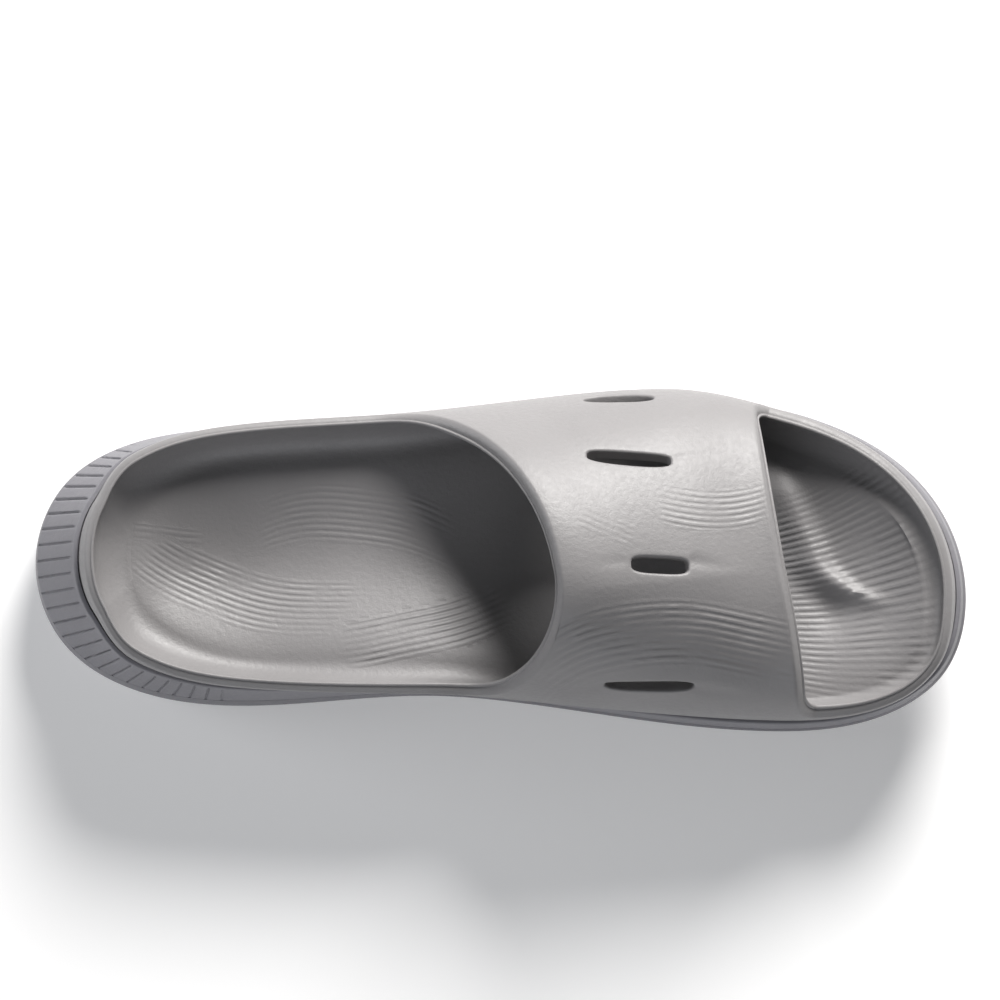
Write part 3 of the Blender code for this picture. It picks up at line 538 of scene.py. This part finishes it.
def toeRidge(x, y):  # raised bar under the toes: steep to the front, easy to the back
    xs = np.array([row[0] for row in footbed["ridge"]]) * last["length"]
    ys = np.array([row[1] for row in footbed["ridge"]]) * last["width"]
    middle = np.interp(y, ys[::-1], xs[::-1])
    width = np.where(x < middle, footbed["ridgeBack"], footbed["ridgeFront"])
    pastLast, pastFirst = footbed["ridgeReach"]
    ends = smooth((y - ys[-1] + pastLast) / footbed["ridgeEnd"])
    ends = ends * smooth((ys[0] + pastFirst - y) / footbed["ridgeEnd"])
    bar = footbed["ridgeHeight"] * np.exp(-(((x - middle) / width) ** 2)) * ends
    hx, hy, depth, radius = footbed["hollow"]
    pit = depth * np.exp(-(((x - hx) ** 2 + (y - hy) ** 2) / radius ** 2))
    return bar - pit


def makeUpper():
    skin = Skin()
    places = stationsFor(upper["count"])
    read = outline.read
    count = len(places)
    heelN, rearN, bandN = (upper["count"][key] for key in ("heel", "rear", "band"))
    lift = spring(read("x", places))
    wall = read("wall", places)
    rimIn = read("rimIn", places)
    rimZ = read("rimZ", places) + lift - wall / 2
    floorIn = read("floorIn", places)
    floorZ = read("floorZ", places) + lift
    floor = skin.row(outline.inset(places, floorIn, floorZ), "footbed")
    innerIn, outerIn = rimIn + wall / 2, rimIn - wall / 2
    row = floor
    for j in range(1, upper["innerSteps"]):
        turn = math.pi / 2 * j / upper["innerSteps"]
        reach = innerIn + (floorIn - innerIn) * (1 - math.sin(turn))
        height = floorZ + (rimZ - floorZ) * (1 - math.cos(turn))
        row = skin.on(row, outline.inset(places, reach, height), "footbed")
    inner = skin.on(row, outline.inset(places, innerIn, rimZ))
    rims = []
    for depth, height in upper["rim"]:
        rims.append(skin.row(outline.inset(places, outerIn + wall * depth, rimZ + wall * height)))
    outer = skin.row(outline.inset(places, outerIn, rimZ))

    strips = [inner, *rims, outer]
    covered = set(range(heelN + rearN, heelN + rearN + bandN))
    covered |= set(range(count - rearN - bandN, count - rearN))
    for i in range(count):
        if i not in covered:
            j = (i + 1) % count
            for a, b in zip(strips, strips[1:]):
                skin.faces.append((a[i], a[j], b[j], b[i]))

    sGrid = np.linspace(0, 1, bandN + 1)
    halfway = (np.arange(band["archSteps"] // 2 + 1) / (band["archSteps"] // 2)) ** band["crowding"]
    turnGrid = np.concatenate((halfway, 2 - halfway[-2::-1])) * math.pi / 2
    turns = turnGrid[1:-1]
    outerGrid, innerGrid = [], []
    for k in range(bandN + 1):
        lateral, medial = (count - rearN - k) % count, heelN + rearN + k
        way = flowing(sGrid[k], np.sin(turns))
        outerGrid.append([outer[lateral], *skin.row(bandFace(way, turns), "band"), outer[medial]])
        inside = bandFace(way, turns, wallAt(way, turns))
        innerGrid.append([inner[lateral], *skin.row(inside), inner[medial]])
    for k in (0, bandN):  # the rim's profile goes on over the collar and the front edge
        out = np.array([skin.points[i] for i in outerGrid[k][1:-1]])
        ins = np.array([skin.points[i] for i in innerGrid[k][1:-1]])
        edge = bandEdge(sGrid[k], turns) * np.linalg.norm(out - ins, axis=-1, keepdims=True)
        lateral, medial = (count - rearN - k) % count, heelN + rearN + k
        lines = [innerGrid[k]]
        for j, (depth, height) in enumerate(upper["rim"]):
            row = skin.row(out + (ins - out) * depth + edge * height)
            lines.append([rims[j][lateral], *row, rims[j][medial]])
        lines.append(outerGrid[k])
        for a, b in zip(lines, lines[1:]):
            skin.band(a, b, closed=False)
    removed = set()
    for slot in slotTable:
        removed |= addSlot(skin, slot, outerGrid, innerGrid, sGrid, turnGrid)
    for grid in (outerGrid, innerGrid):
        skin.fill(grid, removed)

    row = outer
    footIn = read("lipIn", places) + midsole["lipWall"] + last["gap"]
    footZ = read("lipZ", places) + lift
    for j in range(1, upper["outerSteps"] + 1):
        share = j / upper["outerSteps"]
        bow = upper["wallBow"] * math.sin(math.pi * share)
        reach = outerIn + (footIn - outerIn) * share ** upper["wallFlare"] - bow
        row = skin.on(row, outline.inset(places, reach, rimZ + (footZ - rimZ) * share))
    seat = skin.on(row, ringAt(places, footIn + midsole["seatDraft"], seatHeight))
    skin.cap(seat, heelN, lambda x, y, v, z: seatHeight(x))
    dish = tableCurve(footbed["dish"], last["length"], footbed["dishDepth"])

    def floorHeight(x, y, v, z):  # v runs from -1 to 1 across the footbed
        return z - dish(x) * (1 - v * v) ** 2 + toeRidge(x, y) * (1 - v ** 4)

    skin.cap(floor, heelN, floorHeight, "footbed")
    return skin


# Fine contour lines: plan place of a group's middle, slant in degrees, fan and bends back and
# front in 1/m, pitch, reach back, reach front, half width and strength
contourGroups = {
    "band": (
        (0.2170, 0.0132, 2, 0, 9.0, 7.0, 0.00195, 0.0190, 0.0210, 0.0078, 0.55),
        (0.1845, 0.0072, -24, 0, 0.0, 0.0, 0.00200, 0.0120, 0.0120, 0.0050, 0.25),
        (0.1985, -0.0262, 2, 0, -8.0, -3.6, 0.00225, 0.0410, 0.0520, 0.0118, 1.25),
    ),
    "footbed": (
        (0.0620, -0.0100, -19, 0, 5.0, 5.0, 0.00200, 0.0360, 0.0460, 0.0110, 0.65),
        (0.0420, 0.0085, -4, 0, 0.0, 0.0, 0.00200, 0.0120, 0.0150, 0.0036, 0.45),
        (0.0990, 0.0160, -4, 0, -9.0, -5.0, 0.00205, 0.0300, 0.0420, 0.0110, 0.55),
        (0.1250, -0.0230, 14, 0, 3.0, 3.0, 0.00210, 0.0300, 0.0340, 0.0095, 0.85),
        (0.2620, -0.0100, 9, 9.0, 3.0, 3.0, 0.00235, 0.0380, 0.0330, 0.0420, 0.8),
    ),
}
contourShape = {
    "wave": 0.0003,  # the lines sway by this much
    "waveLength": 0.006,
    "waveShift": 900,
    "fade": 0.45,  # share of a group's reach over which its lines fade
    "edge": 0.35,  # share of its half width
    "rivals": 0.25,  # lead in strength that a group needs over another at the same place
}


def contourField(points, zones):  # a phase and a strength for every point
    shape = contourShape
    phase, amount = np.zeros(len(points)), np.zeros(len(points))
    for zone, groups in contourGroups.items():
        chosen = zones == zone
        here = points[chosen]
        bestPhase, best, second = (np.zeros(len(here)) for _ in range(3))
        for x, y, slant, fan, bendBack, bendFront, pitch, back, front, halfWidth, strength in groups:
            turn = math.radians(slant)
            dx, dy = here[:, 0] - x, here[:, 1] - y
            u = dx * math.cos(turn) + dy * math.sin(turn)
            v = -dx * math.sin(turn) + dy * math.cos(turn)
            v = v - np.where(u < 0, bendBack, bendFront) * u * u - fan * u * v
            v = v + shape["wave"] * np.sin(u / shape["waveLength"] + x * shape["waveShift"])
            fadeFront = smooth((front - u) / (shape["fade"] * front))
            fadeBack = smooth((u + back) / (shape["fade"] * back))
            fadeSide = smooth((halfWidth - np.abs(v)) / (shape["edge"] * halfWidth))
            weight = strength * fadeFront * fadeBack * fadeSide
            closer = weight > best
            second = np.where(closer, best, np.maximum(second, weight))
            bestPhase = np.where(closer, v / pitch, bestPhase)
            best = np.where(closer, weight, best)
        phase[chosen], amount[chosen] = bestPhase, best * smooth((best - second) / shape["rivals"])
    return phase, amount


# The midsole and the outsole
midsole = {
    "count": {"heel": 220, "rear": 400, "band": 60, "toe": 40},
    "thin": 20,  # places of the edge for each place of the hidden faces
    "faceSteps": 22,
    "lipWall": 0.0016,
    "lipRound": 0.0006,
    "lipBulge": (0.3, 0.5),  # shares of the rounding where its middle and its inner end stand
    "seatDraft": 0.0015,
    "ribPitch": 0.0053,
    "ribGroove": 0.001,
    "ribDepth": 0.0006,
    "ribEnds": ((0.11, 16, 18), (0.21, 1, 3)),  # lateral and medial: share of the length, rows
    "ribFoot": (-0.04, 0.08),  # share of the face's height, and the share over which the ribs fade there
    "ribHead": (0.94, 0.06),
    "ribFade": 0.004,  # at both ends of the span
    "ribFan": 0.15,  # smaller turns the ribs closer to the shoe's length
}
outsole = {
    "count": {"heel": 40, "rear": 150, "band": 150, "toe": 60},
    "lip": 0.003,
    "floor": 0.006,
    "bottomRound": 0.0045,
    "thin": 10,
    "edgeSteps": 10,
    "sideSteps": 8,
    "sideFlare": 1.6,  # above 1 the side stays upright longer over its edge
    "treadPitch": 0.0185,
    "treadGroove": 0.0034,
    "treadDepth": 0.0028,
    "treadSlant": 14.0,
    "treadStart": 0.13,
}


def makeMidsole():
    skin = Skin()
    places = stationsFor(midsole["count"])
    read = outline.read
    lift = spring(read("x", places))
    lineIn, lineZ = read("lineIn", places), read("lineZ", places) + lift + last["gap"]
    lipIn, lipZ = read("lipIn", places), read("lipZ", places) + lift
    rounding = midsole["lipRound"]
    step = midsole["thin"]
    stepIn = lineIn + outsole["lip"] + last["gap"]
    under = skin.row(outline.inset(places, stepIn, lineZ))
    row = skin.on(under, outline.inset(places, lineIn + rounding, lineZ))
    runs, masks = {}, {}
    start, end = (outline.place(*ribEnd) for ribEnd in midsole["ribEnds"])
    start -= outline.around
    ribCount = round((end - start) / midsole["ribPitch"])
    around = np.where(places > outline.around / 2, places - outline.around, places)
    foot = outline.inset(places, lineIn, lineZ)
    along = np.roll(foot, -1, axis=0) - np.roll(foot, 1, axis=0)
    across = along[:, 1] / np.hypot(along[:, 0], along[:, 1])
    lean = across / (across ** 2 + midsole["ribFan"])  # shift along the edge as a rib runs across the shoe
    ribHere = smooth((around - start) / midsole["ribFade"]) * smooth((end - around) / midsole["ribFade"])
    (ribFoot, footFade), (ribHead, headFade) = midsole["ribFoot"], midsole["ribHead"]
    for j in range(midsole["faceSteps"] + 1):
        share = j / midsole["faceSteps"]
        reach = lineIn + (lipIn - lineIn) * share
        height = lineZ + rounding + (lipZ - lineZ - 2 * rounding) * share
        ring = outline.inset(places, reach, height)
        row = skin.on(row, ring)
        high = smooth((share - ribFoot) / footFade) * smooth((ribHead - share) / headFade)
        ribPlace = around + lean * (ring[:, 1] - foot[:, 1])
        runs.update(zip(row, (ribPlace - start) / (end - start) * ribCount))
        masks.update(zip(row, ribHere * high))
    middle, inner = (share * rounding for share in midsole["lipBulge"])
    for reach, height in (  # the lip's rounded top
        (lipIn + middle, lipZ - middle),
        (lipIn + rounding, lipZ),
        (lipIn + midsole["lipWall"] - middle, lipZ),
        (lipIn + midsole["lipWall"], lipZ - inner),
    ):
        row = skin.on(row, outline.inset(places, reach, height))
    coarse = places[::step]
    seatIn = read("lipIn", coarse) + midsole["lipWall"] + midsole["seatDraft"]
    bottomIn = read("lineIn", coarse) + outsole["lip"] + last["gap"]
    for edge, reach, height in (
        (row, seatIn, lambda x: seatHeight(x) - last["gap"]),
        (under, bottomIn, lambda x: ground(x) + outsole["floor"] + last["gap"]),
    ):
        ring = skin.row(ringAt(coarse, reach, height))
        skin.thin(edge, ring, step)
        skin.cap(ring, midsole["count"]["heel"] // step, lambda x, y, v, z: height(x))
    run = np.array([runs.get(i, 0.0) for i in range(len(skin.points))])
    mask = np.array([masks.get(i, 0.0) for i in range(len(skin.points))])
    return skin, run, mask


def makeOutsole():
    skin = Skin()
    places = stationsFor(outsole["count"])
    read = outline.read
    lift = spring(read("x", places))
    lineIn, lineZ = read("lineIn", places), read("lineZ", places) + lift
    edgeZ = read("edgeZ", places) + lift
    bottom = skin.row(ringAt(places, outsole["bottomRound"], ground))
    row = bottom
    for j in range(1, outsole["edgeSteps"] + 1):
        turn = math.pi / 2 * j / outsole["edgeSteps"]
        ring = outline.inset(places, outsole["bottomRound"] * (1 - math.sin(turn)), 0.0)
        low = ground(ring[:, 0])
        ring[:, 2] = low + (edgeZ - low) * (1 - math.cos(turn))
        row = skin.on(row, ring)
    for j in range(1, outsole["sideSteps"] + 1):
        share = j / outsole["sideSteps"]
        reach = lineIn * share ** outsole["sideFlare"]
        row = skin.on(row, outline.inset(places, reach, edgeZ + (lineZ - edgeZ) * share))
    lip = skin.on(row, outline.inset(places, lineIn + outsole["lip"], lineZ))
    step = outsole["thin"]
    coarse = places[::step]
    floorIn = read("lineIn", coarse) + outsole["lip"]
    floor = skin.row(ringAt(coarse, floorIn, lambda x: ground(x) + outsole["floor"]))
    skin.thin(lip, floor, step)
    skin.cap(floor, outsole["count"]["heel"] // step, lambda x, y, v, z: ground(x) + outsole["floor"])
    first = len(skin.points)
    skin.cap(bottom, outsole["count"]["heel"], lambda x, y, v, z: ground(x))
    points = np.array(skin.points)
    slant = math.radians(outsole["treadSlant"])
    along = points[:, 0] + points[:, 1] * math.tan(slant) - outsole["treadStart"] * last["length"]
    run = along / outsole["treadPitch"] + 0.5
    mask = np.zeros(len(points))
    mask[first:] = 1.0
    mask[bottom] = 1.0
    return skin, run, mask


# Node trees
class NodeTree:  # short hand for nodes and their links
    def __init__(self, tree):
        self.nodes, self.links = tree.nodes, tree.links

    def node(self, kind, inputs=None, **values):
        made = self.nodes.new(kind)
        for key, value in values.items():
            setattr(made, key, value)
        for key, value in (inputs or {}).items():
            self.feed(value, made.inputs[key])
        return made

    def feed(self, value, socket):
        if hasattr(value, "is_linked"):
            self.links.new(value, socket)
        else:
            socket.default_value = value

    def maths(self, operation, *numbers):
        return self.node("ShaderNodeMath", dict(enumerate(numbers)), operation=operation).outputs[0]

    def scaled(self, vector, by):
        made = self.node("ShaderNodeVectorMath", {0: vector, "Scale": by}, operation="SCALE")
        return made.outputs["Vector"]

    def noise(self, vector, *values):  # scale, detail and roughness
        inputs = dict(zip(("Vector", "Scale", "Detail", "Roughness"), (vector, *values)))
        return self.node("ShaderNodeTexNoise", inputs).outputs["Fac"]

    def mapped(self, value, fromRange, toRange, kind="LINEAR"):
        names = ("Value", "From Min", "From Max", "To Min", "To Max")
        inputs = dict(zip(names, (value, *fromRange, *toRange)))
        return self.node("ShaderNodeMapRange", inputs, interpolation_type=kind).outputs["Result"]

    def bump(self, height, distance, **normal):
        inputs = {"Strength": 1.0, "Distance": distance, "Height": height, **normal}
        return self.node("ShaderNodeBump", inputs).outputs["Normal"]


def newGroup(name, kind, inputs, outputs):  # a node group with sockets as name and kind
    group = bpy.data.node_groups.new(name, kind)
    for way, sockets in (("INPUT", inputs), ("OUTPUT", outputs)):
        for socketName, socketKind in sockets:
            group.interface.new_socket(socketName, in_out=way, socket_type="NodeSocket" + socketKind)
    tree = NodeTree(group)
    return group, tree, tree.node("NodeGroupInput"), tree.node("NodeGroupOutput")


grooveSlope = 0.45  # share of a groove's half width that is flat at its bottom


def grooveTree():  # sinks evenly spaced grooves along the stored run of a skin
    geometry = ("Geometry", "Geometry")
    inputs = (geometry, ("Groove Share", "Float"), ("Groove Depth", "Float"), ("Finish", "Material"))
    group, tree, source, result = newGroup("evenGrooves", "GeometryNodeTree", inputs, (geometry,))
    stored = {}
    for name in ("grooveRun", "grooveMask"):
        reader = tree.node("GeometryNodeInputNamedAttribute", {"Name": name}, data_type="FLOAT")
        stored[name] = reader.outputs["Attribute"]
    away = tree.maths("ABSOLUTE", tree.maths("SUBTRACT", tree.maths("FRACT", stored["grooveRun"]), 0.5))
    half = tree.maths("MULTIPLY", source.outputs["Groove Share"], 0.5)
    flat = tree.maths("MULTIPLY", half, grooveSlope)
    profile = tree.mapped(away, (flat, half), (1.0, 0.0), "SMOOTHSTEP")
    share = tree.maths("MULTIPLY", profile, stored["grooveMask"])
    depth = tree.maths("MULTIPLY", share, source.outputs["Groove Depth"])
    normal = tree.node("GeometryNodeInputNormal").outputs["Normal"]
    offset = tree.scaled(normal, tree.maths("MULTIPLY", depth, -1.0))
    shape = source.outputs["Geometry"]
    for step, inputs in (
        ("SetPosition", {"Offset": offset}),
        ("RealizeInstances", {}),
        ("SetMaterial", {"Material": source.outputs["Finish"]}),
    ):
        shape = tree.node("GeometryNode" + step, {"Geometry": shape, **inputs}).outputs["Geometry"]
    tree.feed(shape, result.inputs["Geometry"])
    return group


foamGrain = {  # scale, detail and roughness of each noise, and how far the pebbles change the roughness
    "broad": (38.0, 2.0, 0.55), "pebble": (620.0, 3.0, 0.5), "fine": (2600.0, 2.0, 0.6),
    "noiseRange": (0.3, 0.7), "roughnessRange": (-0.04, 0.04),
}


def moulding():  # shader group: foam skin's tint, roughness and grain height
    inputs = (*((name, "Float") for name in ("Grain", "Pebble", "Mottle", "Gloss")), ("Base", "Color"))
    outputs = (("Colour", "Color"), ("Roughness", "Float"), ("Height", "Float"))
    group, tree, source, result = newGroup("mouldedFoam", "ShaderNodeTree", inputs, outputs)
    spot = tree.node("ShaderNodeTexCoord").outputs["Object"]
    broad, pebble, fine = (tree.noise(spot, *foamGrain[key]) for key in ("broad", "pebble", "fine"))
    low = tree.maths("SUBTRACT", 1.0, source.outputs["Mottle"])
    high = tree.maths("ADD", 1.0, source.outputs["Mottle"])
    tint = tree.mapped(broad, foamGrain["noiseRange"], (low, high))
    tree.feed(tree.scaled(source.outputs["Base"], tint), result.inputs["Colour"])
    rough = tree.mapped(pebble, foamGrain["noiseRange"], foamGrain["roughnessRange"])
    tree.feed(tree.maths("ADD", rough, source.outputs["Gloss"]), result.inputs["Roughness"])
    soft = tree.maths("MULTIPLY", tree.maths("SUBTRACT", pebble, 0.5), source.outputs["Pebble"])
    sharp = tree.maths("MULTIPLY", tree.maths("SUBTRACT", fine, 0.5), source.outputs["Grain"])
    tree.feed(tree.maths("ADD", soft, sharp), result.inputs["Height"])
    return group


contourProfile = {  # a line's flat top and foot in shares of the pitch, and how the lines wear away
    "ridge": (0.08, 0.46), "wornNoise": (95.0, 2.0, 0.55), "wornFrom": (0.35, 0.62), "wornTo": (0.25, 1.0),
}


def contourLines():  # shader group: height of fine parallel ridges from a phase and a strength
    inputs = (("Phase", "Float"), ("Strength", "Float"))
    group, tree, source, result = newGroup("contourLines", "ShaderNodeTree", inputs, (("Height", "Float"),))
    positive = tree.maths("ADD", source.outputs["Phase"], 100.0)  # whole lines, as phases go below 0
    away = tree.maths("ABSOLUTE", tree.maths("SUBTRACT", tree.maths("FRACT", positive), 0.5))
    ridge = tree.mapped(away, contourProfile["ridge"], (1.0, 0.0), "SMOOTHSTEP")
    spot = tree.node("ShaderNodeTexCoord").outputs["Object"]
    noise = tree.noise(spot, *contourProfile["wornNoise"])
    worn = tree.mapped(noise, contourProfile["wornFrom"], contourProfile["wornTo"])
    strength = tree.maths("MULTIPLY", source.outputs["Strength"], worn)
    tree.feed(tree.maths("MULTIPLY", ridge, strength), result.inputs["Height"])
    return group


def foamFinish(name, look, groups):
    made = bpy.data.materials.new(name)
    made.use_nodes = True
    tree = NodeTree(made.node_tree)
    shader = made.node_tree.nodes["Principled BSDF"]
    inputs = {key: look[key.lower()] for key in ("Grain", "Pebble", "Mottle", "Gloss")}
    inputs["Base"] = (*look["colour"], 1.0)
    foam = tree.node("ShaderNodeGroup", inputs, node_tree=groups["foam"])
    tree.feed(foam.outputs["Colour"], shader.inputs["Base Color"])
    tree.feed(foam.outputs["Roughness"], shader.inputs["Roughness"])
    shader.inputs["Specular IOR Level"].default_value = look["specular"]
    normal = tree.bump(foam.outputs["Height"], look["grainHeight"])
    if "lineHeight" in look:
        stored = {}
        for key in ("Phase", "Strength"):
            reader = tree.node("ShaderNodeAttribute", attribute_name="contour" + key)
            stored[key] = reader.outputs["Fac"]
        lines = tree.node("ShaderNodeGroup", stored, node_tree=groups["lines"])
        normal = tree.bump(lines.outputs["Height"], look["lineHeight"], Normal=normal)
    tree.feed(normal, shader.inputs["Normal"])
    return made


looks = {
    "upper": {
        "colour": (0.235, 0.228, 0.230), "grain": 0.5, "pebble": 1.0, "mottle": 0.03, "gloss": 0.46,
        "specular": 0.5, "grainHeight": 0.00012, "lineHeight": 0.00024,
    },
    "midsole": {
        "colour": (0.204, 0.200, 0.218), "grain": 0.6, "pebble": 1.0, "mottle": 0.04, "gloss": 0.52,
        "specular": 0.45, "grainHeight": 0.00012,
    },
    "outsole": {
        "colour": (0.186, 0.182, 0.198), "grain": 0.7, "pebble": 1.1, "mottle": 0.05, "gloss": 0.55,
        "specular": 0.45, "grainHeight": 0.00014,
    },
}


def storeValues(mesh, name, values):
    attribute = mesh.attributes.new(name, "FLOAT", "POINT")
    attribute.data.foreach_set("value", np.asarray(values, dtype=np.float32))


def cleanMesh(mesh):  # no loose points, faces outwards
    work = bmesh.new()
    work.from_mesh(mesh)
    bmesh.ops.delete(work, geom=[v for v in work.verts if not v.link_faces], context="VERTS")
    bmesh.ops.recalc_face_normals(work, faces=work.faces)
    if work.calc_volume(signed=True) < 0:
        bmesh.ops.reverse_faces(work, faces=work.faces)
    work.to_mesh(mesh)
    work.free()
    mesh.shade_smooth()


def linked(name, data):
    made = bpy.data.objects.new(name, data)
    bpy.context.scene.collection.objects.link(made)
    return made


def finishPiece(name, mesh, node, sharpFrom=50):  # edges sharper than this many degrees stay so
    made = linked(name, mesh)
    mesh.set_sharp_from_angle(angle=math.radians(sharpFrom))
    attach(made, "root")
    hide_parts(node)
    print(name, len(mesh.polygons), "faces")


def groovedMesh(mesh, tree, share, depth, finish):  # runs the groove tree and keeps its plain mesh
    carrier = linked("carrier", mesh)
    modifier = carrier.modifiers.new("grooves", "NODES")
    modifier.node_group = tree
    names = {item.name: item.identifier for item in tree.interface.items_tree if item.in_out == "INPUT"}
    modifier[names["Groove Share"]] = share
    modifier[names["Groove Depth"]] = depth
    modifier[names["Finish"]] = finish
    ready = carrier.evaluated_get(bpy.context.evaluated_depsgraph_get())
    made = bpy.data.meshes.new_from_object(ready)
    bpy.data.objects.remove(carrier, do_unlink=True)
    return made


groups = {"foam": moulding(), "lines": contourLines()}
finishes = {name: foamFinish(name + "Foam", look, groups) for name, look in looks.items()}
grooves = grooveTree()
print("finishes and groove tree ready")

upperSkin = makeUpper()
upperMesh = upperSkin.mesh("upperSurface")
phase, amount = contourField(np.array(upperSkin.points), np.array(upperSkin.zones))
storeValues(upperMesh, "contourPhase", phase)
storeValues(upperMesh, "contourStrength", amount)
cleanMesh(upperMesh)
upperMesh.materials.append(finishes["upper"])
finishPiece("upperSurface", upperMesh, "upper_and_footbed")

for name, make, grooveWidth, pitch, depth in (
    ("midsole", makeMidsole, midsole["ribGroove"], midsole["ribPitch"], midsole["ribDepth"]),
    ("outsole", makeOutsole, outsole["treadGroove"], outsole["treadPitch"], outsole["treadDepth"]),
):
    skin, run, mask = make()
    mesh = skin.mesh(name + "Blank")
    storeValues(mesh, "grooveRun", run)
    storeValues(mesh, "grooveMask", mask)
    cleanMesh(mesh)
    done = groovedMesh(mesh, grooves, grooveWidth / pitch, depth, finishes[name])
    done.name = name + "Surface"
    finishPiece(name + "Surface", done, name)


# Floor, light and camera
stageSet = {
    "floorSize": 6.0,
    "floorColour": (0.86, 0.86, 0.86),
    "floorRoughness": 0.9,
    # the floor glows though it is no lamp: painted light that lightens the floor's cast shadow and lights
    # the shoe's sides and sole from below
    "floorGlowAsFillLight": 0.26,
    "world": (0.93, 0.95, 1.0),
    "worldStrength": 0.045,
    "lightAim": (0.0, 0.0, 0.03),
}
softLights = {
    "keySoftbox": {"power": 63.0, "size": 0.9, "place": (0.45, 1.45, 0.98), "colour": (1.0, 0.985, 0.965)},
    "medialFill": {"power": 8.0, "size": 1.0, "place": (-0.1, -1.45, 0.70), "colour": (0.94, 0.96, 1.0)},
    "heelFill": {"power": 9.0, "size": 0.8, "place": (-1.6, 0.3, 0.55), "colour": (0.94, 0.96, 1.0)},
}


def makeFloor():
    mesh = bpy.data.meshes.new("paleFloor")
    half = stageSet["floorSize"] / 2
    corners = [(-half, -half, 0), (half, -half, 0), (half, half, 0), (-half, half, 0)]
    mesh.from_pydata(corners, [], [(0, 1, 2, 3)])
    floor = linked("paleFloor", mesh)
    paint = bpy.data.materials.new("glowingPalePaper")
    paint.use_nodes = True
    shader = paint.node_tree.nodes["Principled BSDF"]
    shader.inputs["Base Color"].default_value = (*stageSet["floorColour"], 1.0)
    shader.inputs["Roughness"].default_value = stageSet["floorRoughness"]
    # painted light: the floor's emission brightens its own shadow and throws light up onto the shoe
    shader.inputs["Emission Color"].default_value = (*stageSet["floorColour"], 1.0)
    shader.inputs["Emission Strength"].default_value = stageSet["floorGlowAsFillLight"]
    mesh.materials.append(paint)


def placeFacing(thing, place, forward):  # the camera and the lights look along their own -Z
    thing.location = place
    thing.rotation_mode = "QUATERNION"
    thing.rotation_quaternion = forward.to_track_quat("-Z", "Y")


def makeLight(name, values):
    light = bpy.data.lights.new(name, "AREA")
    light.energy = values["power"]
    light.shape = "DISK"
    light.size = values["size"]
    light.color = values["colour"]
    place = Vector(values["place"])
    placeFacing(linked(name, light), place, Vector(stageSet["lightAim"]) - place)


makeFloor()
for name, values in softLights.items():
    makeLight(name, values)
world = bpy.data.worlds.new("studio")
bpy.context.scene.world = world
world.use_nodes = True
sky = world.node_tree.nodes["Background"]
sky.inputs["Color"].default_value = (*stageSet["world"], 1.0)
sky.inputs["Strength"].default_value = stageSet["worldStrength"]

photoView = {
    "elevation": 85.0,
    "distance": 4.0,
    "millimetresAcross": 324.3,
    "aim": (0.0, 0.0217, 0.0),
    "sensor": 36.0,
    "clipEnd": 50.0,
}
lens = bpy.data.cameras.new("photoCamera")
lens.sensor_width = photoView["sensor"]
lens.lens = lens.sensor_width * photoView["distance"] * 1000 / photoView["millimetresAcross"]
lens.clip_end = photoView["clipEnd"]
camera = linked("photoCamera", lens)
tilt = math.radians(photoView["elevation"])
back = Vector((0.0, -math.cos(tilt), math.sin(tilt)))
placeFacing(camera, Vector(photoView["aim"]) + back * photoView["distance"], -back)
bpy.context.scene.camera = camera
bpy.context.scene.view_settings.view_transform = "Standard"
print("stage ready")
